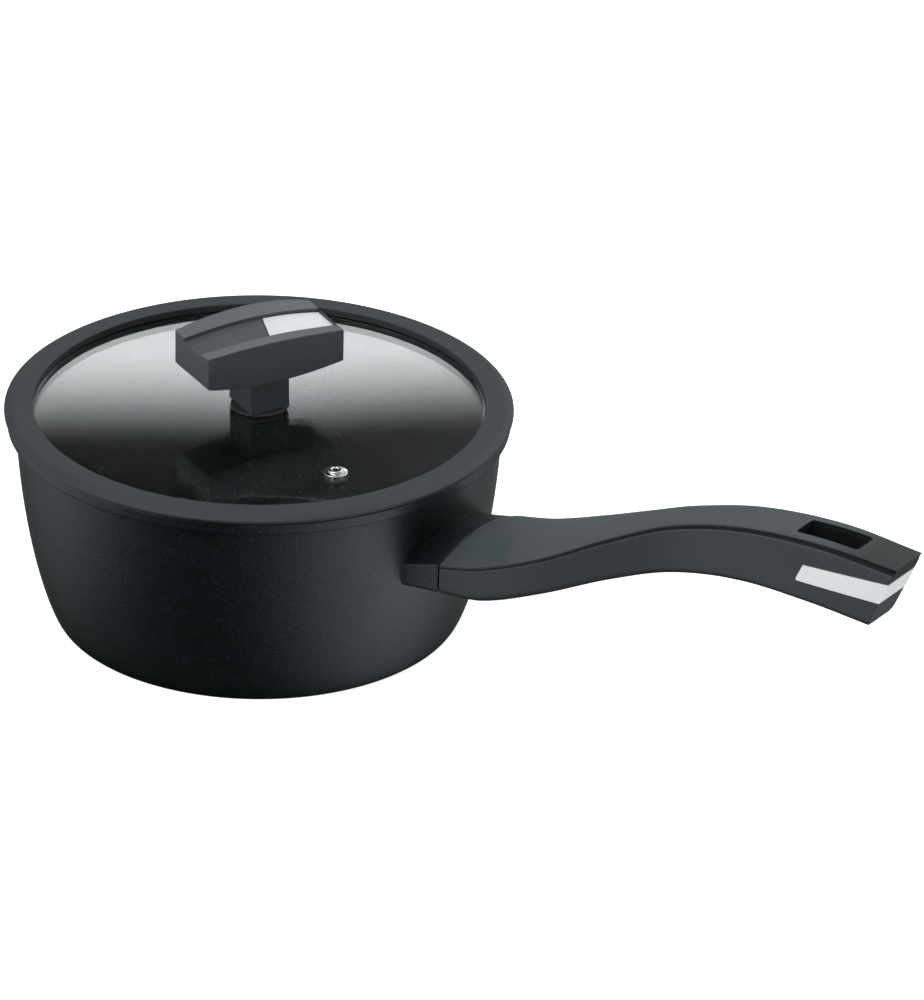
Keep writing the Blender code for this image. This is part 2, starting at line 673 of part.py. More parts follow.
def knob_ring(s, pocket):
    """One ring across the knob bar, s along the bar."""
    share = s / KNOB_HALF_LENGTH
    low = KNOB_END_LOW - KNOB_BELLY * (1 - share * share)
    front = crowned(KNOB_FRONT_EDGE, share)
    front_ridge = crowned(KNOB_FRONT_RIDGE, share)
    back = crowned(KNOB_BACK_EDGE, share)
    back_ridge = crowned(KNOB_BACK_RIDGE, share)
    floor_front = crowned(KNOB_GROOVE_FRONT, share) - pocket
    floor_back = crowned(KNOB_GROOVE_BACK, share) - pocket
    edge = KNOB_EDGE_ROUND
    wide = KNOB_HALF_WIDTH
    outline = [(-wide + edge, low), (wide - edge, low), (wide, low + edge), (wide, back - edge),
               (wide - edge, back), (KNOB_GROOVE_BACK_Y + KNOB_GROOVE_DRAFT, back_ridge),
               (KNOB_GROOVE_BACK_Y, floor_back), (KNOB_GROOVE_FRONT_Y, floor_front),
               (KNOB_GROOVE_FRONT_Y - KNOB_GROOVE_DRAFT, front_ridge), (-wide + edge, front),
               (-wide, front - edge), (-wide, low + edge)]
    return [(s + inlay_slant(y, share), y, height) for y, height in outline]


def inlay_slant(y, share):
    """How far the slanted end of the inlay moves a ring point along the bar; none at its ends."""
    middle = (KNOB_INLAY_FRONT_START + KNOB_INLAY_BACK_START) / 2
    across = (y - KNOB_GROOVE_FRONT_Y) / (KNOB_GROOVE_BACK_Y - KNOB_GROOVE_FRONT_Y)
    across = min(1.0, max(0.0, across))
    start = KNOB_INLAY_FRONT_START + (KNOB_INLAY_BACK_START - KNOB_INLAY_FRONT_START) * across
    return (start - middle) * (1 - abs(share))


def knob_places(start, end, count):
    return [start + (end - start) * step / (count - 1) for step in range(count)]


def build_knob_bar(parts, cutters, materials, lid_axis):
    start = (KNOB_INLAY_FRONT_START + KNOB_INLAY_BACK_START) / 2
    left = knob_places(-KNOB_HALF_LENGTH, start - GAP, KNOB_STATIONS // 2)
    right = knob_places(start - GAP / 2, KNOB_HALF_LENGTH, KNOB_STATIONS // 2)
    rings = [knob_ring(s, 0.0) for s in left] + [knob_ring(s, KNOB_POCKET_DEPTH) for s in right]
    bar = lofted("knob_bar", rings, parts, materials["knob"], lid_axis)
    place_on_knob_axis(bar)
    hole_radius = KNOB_INSERT_RADIUS + GAP
    hole_top = KNOB_INSERT_HIGH + GAP
    hole_bottom = KNOB_END_LOW - KNOB_BELLY - CUTTER_REACH
    hole_profile = [(0.0, hole_top), (hole_radius, hole_top), (hole_radius, hole_bottom),
                    (0.0, hole_bottom)]
    hole = turned("insert_hole", hole_profile, cutters, None, closed=False)
    add_boolean(bar, mark_as_cutter(hole), "DIFFERENCE")


def build_knob_inlay(parts, materials, lid_axis):
    rings = []
    start = (KNOB_INLAY_FRONT_START + KNOB_INLAY_BACK_START) / 2 + GAP
    for s in knob_places(start, KNOB_HALF_LENGTH - GAP, KNOB_STATIONS // 2):
        share = s / KNOB_HALF_LENGTH
        front_y = KNOB_GROOVE_FRONT_Y + GAP
        back_y = KNOB_GROOVE_BACK_Y - GAP
        front_s = s + inlay_slant(front_y, share)
        back_s = s + inlay_slant(back_y, share)
        front_low = crowned(KNOB_GROOVE_FRONT, share) - KNOB_POCKET_DEPTH + GAP
        back_low = crowned(KNOB_GROOVE_BACK, share) - KNOB_POCKET_DEPTH + GAP
        rings.append([(front_s, front_y, front_low), (back_s, back_y, back_low),
                      (back_s, back_y, back_low + KNOB_INLAY_THICKNESS),
                      (front_s, front_y, front_low + KNOB_INLAY_THICKNESS)])
    place_on_knob_axis(lofted("knob_inlay", rings, parts, materials["silver"], lid_axis))


def build_knob_fastening(parts, cutters, materials, lid_axis):
    """Stack on the knob's screw, from the gasket on the glass down to the screw head."""
    bore = SCREW_CLEARANCE_RADIUS
    glass_high = glass_top(0.0)
    gasket_low = glass_high + GAP
    gasket_high = gasket_low + KNOB_GASKET_THICKNESS
    upper = [(bore, gasket_high), (KNOB_GASKET_RADIUS - EDGE_BREAK, gasket_high),
             (KNOB_GASKET_RADIUS, gasket_low), (bore, gasket_low)]
    turned("knob_gasket", upper, parts, materials["seal"], lid_axis, segments=GASKET_SEGMENTS)

    glass_low = glass_high - GLASS_THICKNESS
    flange_high = glass_low - 2 * GAP
    flange_low = flange_high - KNOB_LOWER_GASKET_THICKNESS
    neck = GLASS_HOLE_RADIUS - GAP
    grommet = [(bore, glass_high - GAP), (neck, glass_high - GAP), (neck, flange_high),
               (KNOB_LOWER_GASKET_RADIUS, flange_high), (KNOB_LOWER_GASKET_RADIUS, flange_low),
               (bore, flange_low)]
    turned("knob_grommet", grommet, parts, materials["seal"], lid_axis)

    washer_high = flange_low - GAP
    washer_low = washer_high - KNOB_WASHER_THICKNESS
    washer = [(bore, washer_high), (KNOB_WASHER_RADIUS, washer_high),
              (KNOB_WASHER_RADIUS, washer_low), (bore, washer_low)]
    turned("knob_washer", washer, parts, materials["steel"], lid_axis)

    head_high = washer_low - GAP
    head_low = head_high - KNOB_SCREW_HEAD_HEIGHT
    head = KNOB_SCREW_HEAD_RADIUS
    shaft = KNOB_SCREW_RADIUS
    bevel = KNOB_SCREW_BEVEL
    screw = [(0.0, KNOB_SCREW_TIP), (shaft - bevel, KNOB_SCREW_TIP), (shaft, KNOB_SCREW_TIP - bevel),
             (shaft, head_high), (head, head_high), (head, head_low + bevel),
             (head - bevel, head_low), (0.0, head_low)]
    turned("knob_screw", screw, parts, materials["steel"], lid_axis, closed=False)

    insert = [(bore, KNOB_INSERT_HIGH), (KNOB_INSERT_RADIUS, KNOB_INSERT_HIGH),
              (KNOB_INSERT_RADIUS, KNOB_INSERT_LOW), (bore, KNOB_INSERT_LOW)]
    turned("knob_insert", insert, parts, materials["brass"], lid_axis)

    post_low = gasket_high + GAP
    post_high = KNOB_END_LOW - KNOB_BELLY - GAP
    post = block("knob_post", (-KNOB_POST_LENGTH / 2, -KNOB_POST_WIDTH / 2, post_low),
                 (KNOB_POST_LENGTH / 2, KNOB_POST_WIDTH / 2, post_high), parts, materials["knob"],
                 lid_axis, KNOB_POST_CHAMFER)
    place_on_knob_axis(post)
    hole_top = post_high + CUTTER_REACH
    hole_bottom = post_low - CUTTER_REACH
    hole_profile = [(0.0, hole_top), (bore, hole_top), (bore, hole_bottom), (0.0, hole_bottom)]
    hole = turned("post_hole", hole_profile, cutters, None, closed=False)
    add_boolean(post, mark_as_cutter(hole), "DIFFERENCE")


def make_materials():
    return {
        "coat": make_material("non_stick_coat", (0.045, 0.052, 0.056), 0.55),
        "grip": make_material("grip_plastic", (0.052, 0.056, 0.060), 0.60),
        "cover": make_material("grip_soft_cover", (0.085, 0.098, 0.102), 0.70),
        "knob": make_material("knob_plastic", (0.045, 0.050, 0.054), 0.60),
        "rubber": make_material("lid_rubber", (0.055, 0.060, 0.063), 0.65),
        "seal": make_material("seal_rubber", (0.100, 0.110, 0.110), 0.60),
        "glass": make_material("lid_clear_glass", (0.85, 0.88, 0.88), 0.03, transmission=1.0),
        "steel": make_material("polished_steel", (0.72, 0.72, 0.71), 0.20, metallic=1.0),
        "base": make_material("base_steel", (0.60, 0.60, 0.59), 0.35, metallic=1.0),
        "silver": make_material("brushed_silver", (0.70, 0.71, 0.71), 0.40, metallic=1.0),
        "brass": make_material("turned_brass", (0.72, 0.53, 0.24), 0.35, metallic=1.0),
    }


def main():
    clear_scene()
    parts = new_collection("saucepan_with_glass_lid")
    cutters = new_collection("cutters")
    materials = make_materials()
    lid_axis = bpy.data.objects.new("lid_axis", None)
    lid_axis.location = (0.0, 0.0, PAN_HEIGHT)
    parts.objects.link(lid_axis)

    build_pan_body(parts, cutters, materials)
    build_base_plate(parts, materials)
    build_heat_shield(parts, cutters, materials)
    build_grip_body(parts, cutters, materials)
    build_grip_cover(parts, cutters, materials)
    build_band("grip_band", parts, materials["silver"], 0.0)
    build_handle_screw(parts, materials)
    build_handle_washer(parts, materials)
    build_lid_glass(parts, cutters, materials, lid_axis)
    build_lid_rim(parts, materials, lid_axis)
    build_vent(parts, materials, lid_axis)
    build_knob_bar(parts, cutters, materials, lid_axis)
    build_knob_inlay(parts, materials, lid_axis)
    build_knob_fastening(parts, cutters, materials, lid_axis)


main()
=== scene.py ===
"""Looks of a saucepan with a glass lid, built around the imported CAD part."""

import math

import bmesh
import bpy
from mathutils import Matrix, Vector


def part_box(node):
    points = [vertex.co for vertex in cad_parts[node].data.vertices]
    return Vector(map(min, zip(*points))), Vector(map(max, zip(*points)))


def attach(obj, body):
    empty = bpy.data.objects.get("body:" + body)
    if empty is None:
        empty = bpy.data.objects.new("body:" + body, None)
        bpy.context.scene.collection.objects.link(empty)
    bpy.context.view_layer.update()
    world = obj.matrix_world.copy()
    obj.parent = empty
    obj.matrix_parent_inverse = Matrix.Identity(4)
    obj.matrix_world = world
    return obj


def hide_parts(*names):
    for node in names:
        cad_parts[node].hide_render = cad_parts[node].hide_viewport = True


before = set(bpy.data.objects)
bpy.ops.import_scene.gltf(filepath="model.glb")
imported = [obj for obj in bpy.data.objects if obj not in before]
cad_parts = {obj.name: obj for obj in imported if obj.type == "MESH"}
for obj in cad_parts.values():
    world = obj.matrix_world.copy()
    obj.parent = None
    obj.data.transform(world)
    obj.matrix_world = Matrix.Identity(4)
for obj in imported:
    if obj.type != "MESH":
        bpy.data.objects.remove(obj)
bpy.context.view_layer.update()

PAN = "pan"
LID = "lid"

# Fit between pieces, as in the CAD part
GAP = 0.0003

# Closer fit of the plate in the seam, so that no light shows through
SEAM_GAP = 0.00005

# Boxes that the pieces are placed by
PAN_LOW, PAN_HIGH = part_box("pan_body")
RIM_LOW, RIM_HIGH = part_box("lid_rim")
GLASS_LOW, GLASS_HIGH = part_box("lid_glass")
PLATE_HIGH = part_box("base_plate")[1]
SHIELD_LOW, SHIELD_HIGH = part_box("heat_shield")
COVER_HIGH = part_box("grip_cover")[1]
SCREW_LOW, SCREW_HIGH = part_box("handle_screw")
EYELET_LOW, EYELET_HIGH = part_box("vent_eyelet")
VENT_CENTRE = ((EYELET_LOW.x + EYELET_HIGH.x) / 2, (EYELET_LOW.y + EYELET_HIGH.y) / 2)
VENT_WASHER_LOW, VENT_WASHER_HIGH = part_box("vent_washer")
GASKET_LOW, GASKET_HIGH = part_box("knob_gasket")
POST_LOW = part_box("knob_post")[0]
BAR_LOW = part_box("knob_bar")[0]


# Mesh helpers

MERGE_DISTANCE = 0.000002
POLE_RADIUS = 0.00001
SHARP_ANGLE = math.radians(40.0)
SHARPEST_BEND = 0.4
DRILL_SEGMENTS = 48
SOFT_EDGE = 0.0003
CRISP_EDGE = 0.00012


def evenly(start, end, steps):
    return [start + (end - start) * step / steps for step in range(steps + 1)]


def share_of(value, start, end):
    """How far value has come from start to end, from 0 to 1."""
    return min(1.0, max(0.0, (value - start) / (end - start)))


def arc(centre, radius, start, end, steps):
    """Points of an arc about centre, with its angles in degrees."""
    return [(centre[0] + radius * math.cos(angle), centre[1] + radius * math.sin(angle))
            for angle in map(math.radians, evenly(start, end, steps))]


def arched(half, edge, crown, reaches):
    """Points of an arch that rises by crown above its edges, at reaches from -1 to 1."""
    return [(half * reach, edge + crown * (1 - reach * reach)) for reach in reaches]


def bezier(controls, steps):
    """Points of a cubic curve through its four (radius, height) controls."""
    points = []
    for t in evenly(0.0, 1.0, steps):
        weights = ((1 - t) ** 3, 3 * (1 - t) ** 2 * t, 3 * (1 - t) * t * t, t ** 3)
        points.append(tuple(sum(w * c[axis] for w, c in zip(weights, controls)) for axis in (0, 1)))
    return points


def filleted(points, radii, steps=4):
    """The polygon through points, with each corner rounded by its radius."""
    result = []
    for index, (point, radius) in enumerate(zip(points, radii)):
        here = Vector(point)
        if radius <= 0.0:
            result.append(tuple(here))
            continue
        before = (Vector(points[index - 1]) - here).normalized()
        after = (Vector(points[(index + 1) % len(points)]) - here).normalized()
        half = before.angle(after) / 2
        centre = here + (before + after).normalized() * (radius / math.sin(half))
        reach = radius / math.tan(half)
        start = here + before * reach - centre
        end = here + after * reach - centre
        turn = start.angle(end)
        for t in evenly(0.0, 1.0, steps):
            arm = (start * math.sin((1 - t) * turn) + end * math.sin(t * turn)) / math.sin(turn)
            result.append(tuple(centre + arm))
    return result


def finish_mesh(name, work, material, even=True):
    """An object from a bmesh; even weights its normals, so that flat faces look flat."""
    bmesh.ops.remove_doubles(work, verts=work.verts, dist=MERGE_DISTANCE)
    bmesh.ops.dissolve_degenerate(work, edges=work.edges, dist=MERGE_DISTANCE)
    bmesh.ops.recalc_face_normals(work, faces=work.faces)
    mesh = bpy.data.meshes.new(name)
    work.to_mesh(mesh)
    work.free()
    mesh.shade_smooth()
    mesh.set_sharp_from_angle(angle=SHARP_ANGLE)
    mesh.materials.append(material)
    thing = bpy.data.objects.new(name, mesh)
    bpy.context.scene.collection.objects.link(thing)
    if even:
        normals = thing.modifiers.new("even_shading", "WEIGHTED_NORMAL")
        normals.keep_sharp = True
    return thing


def turned(name, profile, material, segments=96, centre=(0.0, 0.0), closed=True, even=True):
    """A turned piece from its profile of (radius, height) points."""
    work = bmesh.new()
    loops = []
    for radius, height in profile:
        if radius < POLE_RADIUS:
            loops.append([work.verts.new((*centre, height))] * segments)
        else:
            circle = arc(centre, radius, 0, 360, segments)[:-1]
            loops.append([work.verts.new((*point, height)) for point in circle])
    pairs = list(zip(loops, loops[1:]))
    if closed:
        pairs.append((loops[-1], loops[0]))
    for upper, lower in pairs:
        for step in range(segments):
            after = (step + 1) % segments
            corners = []
            for corner in (upper[step], upper[after], lower[after], lower[step]):
                if corner not in corners:
                    corners.append(corner)
            if len(corners) > 2:
                work.faces.new(corners)
    return finish_mesh(name, work, material, even)


def ring_axis(ring, towards):
    """Unit direction from the middle of one ring to the middle of another."""
    centre = sum(ring, Vector()) / len(ring)
    return (sum(towards, Vector()) / len(towards) - centre).normalized()


def inset_ring(ring, axis, depth):
    """The ring moved inwards by depth, in the plane across axis."""
    area = Vector()
    for index, point in enumerate(ring):
        area += (point - ring[0]).cross(ring[(index + 1) % len(ring)] - ring[0])
    side = 1.0 if area.dot(axis) > 0.0 else -1.0
    moved = []
    for index, point in enumerate(ring):
        edge_in = (point - ring[index - 1]).normalized()
        edge_out = (ring[(index + 1) % len(ring)] - point).normalized()
        normal_in = axis.cross(edge_in) * side
        normal_out = axis.cross(edge_out) * side
        bend = max(SHARPEST_BEND, 1.0 + normal_in.dot(normal_out))
        moved.append(point + (normal_in + normal_out) * (depth / bend))
    return moved


def with_round_ends(rings, radius, steps=3):
    """The rings of a loft, with the edges of its two ends rounded."""
    rings = [[Vector(point) for point in ring] for ring in rings]
    first_axis = ring_axis(rings[0], rings[1])
    last_axis = ring_axis(rings[-1], rings[-2])
    start, end = [], []
    for angle in evenly(0.0, math.pi / 2, steps):
        inwards = radius * (1 - math.sin(angle))
        along = radius * (1 - math.cos(angle))
        start.append([p + first_axis * along for p in inset_ring(rings[0], first_axis, inwards)])
        end.append([p + last_axis * along for p in inset_ring(rings[-1], last_axis, inwards)])
    return start + rings[1:-1] + list(reversed(end))


def lofted(name, rings, material, even=True):
    """A closed skin through rings that all have the same number of points."""
    work = bmesh.new()
    loops = [[work.verts.new(point) for point in ring] for ring in rings]
    count = len(rings[0])
    for near, far in zip(loops, loops[1:]):
        for index in range(count):
            after = (index + 1) % count
            work.faces.new((near[index], near[after], far[after], far[index]))
    work.faces.new(list(reversed(loops[0])))
    work.faces.new(loops[-1])
    return finish_mesh(name, work, material, even)


def drill(name, radius, high, low, centre):
    """A round cutter."""
    profile = [(0.0, high), (radius, high), (radius, low), (0.0, low)]
    return turned(name, profile, None, DRILL_SEGMENTS, centre, closed=False, even=False)


def cut(thing, *cutters, operation="DIFFERENCE"):
    """Applies a boolean with each cutter, and then removes the cutter."""
    for cutter in cutters:
        boolean = thing.modifiers.new(cutter.name, "BOOLEAN")
        boolean.operation = operation
        boolean.solver = "EXACT"
        boolean.object = cutter
        thing.modifiers.move(len(thing.modifiers) - 1, 0)
        others = [modifier for modifier in thing.modifiers if modifier != boolean]
        for other in others:
            other.show_viewport = False
        bpy.context.view_layer.update()
        graph = bpy.context.evaluated_depsgraph_get()
        mesh = bpy.data.meshes.new_from_object(thing.evaluated_get(graph))
        thing.modifiers.remove(boolean)
        thing.data = mesh
        for other in others:
            other.show_viewport = True
        bpy.data.objects.remove(cutter, do_unlink=True)
    thing.data.set_sharp_from_angle(angle=SHARP_ANGLE)


def recoat(thing, material, chosen):
    """Gives a further material to the faces that are chosen by their centre and normal."""
    thing.data.materials.append(material)
    for face in thing.data.polygons:
        if chosen(face.center, face.normal):
            face.material_index = len(thing.data.materials) - 1


def place(piece, body, slot, *nodes):
    """Puts a piece on its body and hides the CAD nodes that it stands for; slot is not used."""
    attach(piece, body)
    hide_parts(*nodes)


# Material helpers

NOISE_LOW = 0.3
NOISE_HIGH = 0.7
METAL_GRAIN_DEPTH = 0.00001
COAT_GRAIN_DEPTH = 0.00006


def add_node(tree, kind, values=None, **settings):
    """A node with its inputs linked or set from values, and its own settings."""
    node = tree.nodes.new(kind)
    for key, value in settings.items():
        setattr(node, key, value)
    for key, value in (values or {}).items():
        if isinstance(value, bpy.types.NodeSocket):
            tree.links.new(value, node.inputs[key])
        else:
            node.inputs[key].default_value = value
    return node


def new_material(name, **sockets):
    """A material with its tree, its shader and object coordinates."""
    material = bpy.data.materials.new(name)
    material.use_nodes = True
    tree = material.node_tree
    shader = tree.nodes["Principled BSDF"]
    for key, value in sockets.items():
        shader.inputs[key.replace("_", " ")].default_value = value
    coordinates = add_node(tree, "ShaderNodeTexCoord").outputs["Object"]
    return material, tree, shader, coordinates


def wire(tree, shader, *sources):
    """Links what sets the shader's colour, roughness and normal."""
    for key, source in zip(("Base Color", "Roughness", "Normal"), sources):
        tree.links.new(source, shader.inputs[key])


def noise(tree, coordinates, scale, detail=2.0, roughness=0.5):
    return add_node(tree, "ShaderNodeTexNoise",
                    {"Vector": coordinates, "Scale": scale, "Detail": detail, "Roughness": roughness}
                    ).outputs["Fac"]


def spread(tree, value, low, high, to_low, to_high, kind="LINEAR"):
    return add_node(tree, "ShaderNodeMapRange",
                    {"Value": value, "From Min": low, "From Max": high, "To Min": to_low,
                     "To Max": to_high}, interpolation_type=kind).outputs["Result"]


def across(tree, value, to_low, to_high):
    """Spreads the usual range of a noise."""
    return spread(tree, value, NOISE_LOW, NOISE_HIGH, to_low, to_high)


def calculate(tree, operation, first, second):
    return add_node(tree, "ShaderNodeMath", {0: first, 1: second}, operation=operation).outputs[0]


def mix_colours(tree, factor, first, second):
    mixer = add_node(tree, "ShaderNodeMix", {"Factor": factor}, data_type="RGBA")
    for key, value in (("A", first), ("B", second)):
        socket = next(s for s in mixer.inputs if s.name == key and s.type == "RGBA")
        if isinstance(value, bpy.types.NodeSocket):
            tree.links.new(value, socket)
        else:
            socket.default_value = (*value, 1.0)
    return next(s for s in mixer.outputs if s.type == "RGBA")


def bump(tree, height, strength, distance):
    return add_node(tree, "ShaderNodeBump",
                    {"Height": height, "Strength": strength, "Distance": distance}).outputs["Normal"]


def coat_material(name, dark, light, fleck, fleck_share, fleck_size, roughness, specular):
    """Sprayed non-stick coat: fine grain, cloudy gloss and scattered mineral flecks."""
    material, tree, shader, coordinates = new_material(
        name, Specular_IOR_Level=specular, Specular_Tint=(0.82, 0.96, 1.0, 1.0))
    grain = noise(tree, coordinates, 1900.0, 3.0, 0.6)
    clouds = noise(tree, coordinates, 34.0, 3.0)
    base = mix_colours(tree, spread(tree, grain, 0.35, 0.65, 0.0, 1.0), dark, light)
    cells = add_node(tree, "ShaderNodeTexVoronoi", {"Vector": coordinates, "Scale": fleck_size})
    pick = add_node(tree, "ShaderNodeSeparateColor", {"Color": cells.outputs["Color"]})
    chosen = calculate(tree, "GREATER_THAN", pick.outputs["Red"], 1.0 - fleck_share)
    dot = spread(tree, cells.outputs["Distance"], 0.22, 0.36, 1.0, 0.0, "SMOOTHSTEP")
    strength = calculate(tree, "MULTIPLY", dot, calculate(tree, "MULTIPLY", chosen,
                                                          pick.outputs["Green"]))
    wire(tree, shader, mix_colours(tree, strength, base, fleck),
         across(tree, clouds, roughness - 0.03, roughness + 0.04),
         bump(tree, grain, 0.35, COAT_GRAIN_DEPTH))
    return material


def moulded_material(name, dark, light, roughness, specular, grain_scale, grain_depth, painted_shade_along_x=None):
    """Moulded plastic or rubber with a fine eroded grain; the last argument, if given, is painted shade:
    (start, end, colour), darkening the colour along X from start to end.
    """
    material, tree, shader, coordinates = new_material(name, Specular_IOR_Level=specular)
    grain = noise(tree, coordinates, grain_scale, 3.0, 0.65)
    clouds = noise(tree, coordinates, 28.0, 2.0)
    fine = across(tree, grain, 0.0, 1.0)
    broad = across(tree, clouds, -0.15, 0.15)
    amount = add_node(tree, "ShaderNodeMath", {0: fine, 1: broad}, operation="ADD", use_clamp=True)
    colour = mix_colours(tree, amount.outputs[0], dark, light)
    # Painted shade: the colour darkens along X from start to end
    if painted_shade_along_x:
        along = add_node(tree, "ShaderNodeSeparateXYZ", {0: coordinates}).outputs["X"]
        share = spread(tree, along, painted_shade_along_x[0], painted_shade_along_x[1], 0.0, 1.0, "SMOOTHSTEP")
        colour = mix_colours(tree, share, colour, painted_shade_along_x[2])
    wire(tree, shader, colour, across(tree, clouds, roughness - 0.04, roughness + 0.04),
         bump(tree, grain, 0.5, grain_depth))
    return material


def metal_material(name, colour, shade, roughness, stretch, turn, metallic=1.0, painted_glow=0.0):
    """Metal with fine lines that run along the stretch of its grain, and an optional painted glow."""
    material, tree, shader, coordinates = new_material(
        name, Metallic=metallic, Emission_Strength=painted_glow, Emission_Color=(1.0, 1.0, 1.0, 1.0))
    rotated = add_node(tree, "ShaderNodeMapping", {"Vector": coordinates, "Rotation": (0.0, 0.0, -turn)})
    mapping = add_node(tree, "ShaderNodeMapping", {"Vector": rotated.outputs[0], "Scale": stretch})
    lines = noise(tree, mapping.outputs[0], 1.0, 4.0, 0.6)
    blotches = noise(tree, coordinates, 320.0, 2.0)
    wire(tree, shader, mix_colours(tree, across(tree, lines, 0.0, 1.0), shade, colour),
         across(tree, blotches, roughness - 0.04, roughness + 0.06),
         bump(tree, lines, 0.4, METAL_GRAIN_DEPTH))
    return material


def glass_material(name):
    """Clear tempered glass with the faintest smear of roughness."""
    material, tree, shader, coordinates = new_material(
        name, Base_Color=(0.93, 0.965, 0.96, 1.0), Transmission_Weight=1.0, IOR=1.52,
        Coat_Weight=0.18, Coat_Roughness=0.22)
    smears = noise(tree, coordinates, 22.0, 4.0, 0.6)
    tree.links.new(spread(tree, smears, 0.45, 0.8, 0.0, 0.02), shader.inputs["Roughness"])
    return material


# Pan

OUTER_WALL = ((0.0955, 0.0812), (0.0934, 0.0290), (0.0820, 0.0000), (0.0803, 0.0000))
INNER_WALL = ((0.0922, 0.0812), (0.0906, 0.0330), (0.0795, 0.0050), (0.0770, 0.0050))
RIM_BAND_BOTTOM = 0.0812
RIM_INNER_RADIUS = 0.0920
FOOT_RECESS = 0.0020
FLOOR_RADII = (0.0, 0.03, 0.06)
WALL_STEPS = 44
PAN_SEGMENTS = 288
PLATE_SEGMENTS = 192
RIM_INNER_ROUND = 0.0008
RIM_OUTER_ROUND = 0.0010
RIM_UNDER_ROUND = 0.0006
BAND_FILLET = 0.0002
FOOT_ROUND = 0.0004
INSIDE_DEPTH = 0.0030
PLATE_ROUND = 0.0003
RING_FIRST_INSET = 0.0060
RING_PITCH = 0.0070
RING_LEAST_RADIUS = 0.0080
RING_DEPTH = 0.00025
RING_LIP = 0.0006
RING_FLOOR = 0.0003


def rounded_corner(radius, height, out, up, rounding, start, end, steps):
    """Rounded corner of a profile; out and up say on which side of it the arc's centre lies."""
    return arc((radius + out * rounding, height + up * rounding), rounding, start, end, steps)


def build_pan(coat, inner_coat):
    rim = PAN_HIGH.y
    top = PAN_HIGH.z
    foot = PLATE_HIGH.y + GAP
    floor = INNER_WALL[-1][1]
    profile = [(radius, floor) for radius in FLOOR_RADII]
    profile += reversed(bezier(INNER_WALL, WALL_STEPS))
    profile += [(RIM_INNER_RADIUS, top - INSIDE_DEPTH)]
    profile += rounded_corner(RIM_INNER_RADIUS, top, 1, -1, RIM_INNER_ROUND, 180, 90, 5)
    profile += rounded_corner(rim, top, -1, -1, RIM_OUTER_ROUND, 90, 0, 6)
    profile += rounded_corner(rim, RIM_BAND_BOTTOM, -1, 1, RIM_UNDER_ROUND, 0, -90, 4)
    profile += rounded_corner(OUTER_WALL[0][0], RIM_BAND_BOTTOM, 1, -1, BAND_FILLET, 90, 180, 2)
    profile += bezier(OUTER_WALL, WALL_STEPS)[1:]
    profile += rounded_corner(foot, 0.0, 1, 1, FOOT_ROUND, 270, 180, 3)
    profile += [(foot, FOOT_RECESS), (FLOOR_RADII[1], FOOT_RECESS), (0.0, FOOT_RECESS)]
    shell = turned("pan_shell", profile, coat, PAN_SEGMENTS, closed=False)

    def inside(centre, normal):
        inwards = normal.x * centre.x + normal.y * centre.y < 0.0
        return (inwards or normal.z > 0.5) and FOOT_RECESS < centre.z < top - INSIDE_DEPTH

    recoat(shell, inner_coat, inside)
    place(shell, PAN, "non_stick_coat", "pan_body")


def wall_radius(height):
    """Outer radius of the pan wall at a height."""
    wall = bezier(OUTER_WALL, WALL_STEPS)
    for upper, lower in zip(wall, wall[1:]):
        if lower[1] <= height <= upper[1]:
            share = (upper[1] - height) / max(upper[1] - lower[1], 1e-9)
            return upper[0] + (lower[0] - upper[0]) * share
    return wall[0][0]


def wall_x(y, height):
    return math.sqrt(max(wall_radius(height) ** 2 - y * y, 0.0))


# Lug of the pan: half width, bottom, height of the top's side edges and rise of its arch

LUG_ROOT_X = 0.0800
LUG_ROOT = (0.0272, 0.0462, 0.0543, 0.0116)
LUG_END = (0.0257, 0.0485, 0.0611, 0.0046)
LUG_FILLET = 0.0001
SHIELD_SUNK = 0.0006
SHIELD_RAISED = 0.0002
LUG_END_X = SHIELD_LOW.x - SEAM_GAP
LUG_TOP_ROUND = 0.0007
LUG_BOTTOM_ROUND = 0.0018
LUG_ACROSS = 24
LUG_UPRIGHT = 4
LUG_LENGTHWISE = 12
LUG_FILLET_STEPS = 6
LUG_WALL_ROUNDS = 6
LUG_TIP_SIZE = 0.02
LUG_SUNK_END = 0.0014
LUG_SUNK = 0.0010
FILLET_SUNK = 0.00008
SHIELD_EDGE = 0.0001


def lug_outline(x):
    """Points of the lug's section at x, as (y, height), from the arched top round to it again."""
    share = (x - LUG_ROOT_X) / (LUG_END_X - LUG_ROOT_X)
    half, low, high, crown = (a + (b - a) * share for a, b in zip(LUG_ROOT, LUG_END))
    inner, foot = half - LUG_TOP_ROUND, half - LUG_BOTTOM_ROUND
    shoulder, heel = high - LUG_TOP_ROUND, low + LUG_BOTTOM_ROUND
    reaches = evenly(1.0, -1.0, LUG_ACROSS)[1:-1]
    upright = evenly(shoulder, heel, LUG_UPRIGHT)[1:-1]
    points = arched(inner, high, crown, reaches)
    points += arc((-inner, shoulder), LUG_TOP_ROUND, 100, 180, 5)
    points += [(-half, z) for z in upright]
    points += arc((-foot, heel), LUG_BOTTOM_ROUND, 180, 270, 6)
    points += [(-foot * reach, low) for reach in reaches]
    points += arc((foot, heel), LUG_BOTTOM_ROUND, 270, 360, 6)
    points += [(half, z) for z in reversed(upright)]
    points += arc((inner, shoulder), LUG_TOP_ROUND, 0, 80, 5)
    return points


def lug_at_wall():
    """Points where the lug's skin meets the pan wall."""
    places = [LUG_END_X] * len(lug_outline(LUG_END_X))
    for _ in range(LUG_WALL_ROUNDS):
        points = [lug_outline(x)[index] for index, x in enumerate(places)]
        places = [wall_x(y, z) for y, z in points]
    return [Vector((x, y, z)) for x, (y, z) in zip(places, points)]


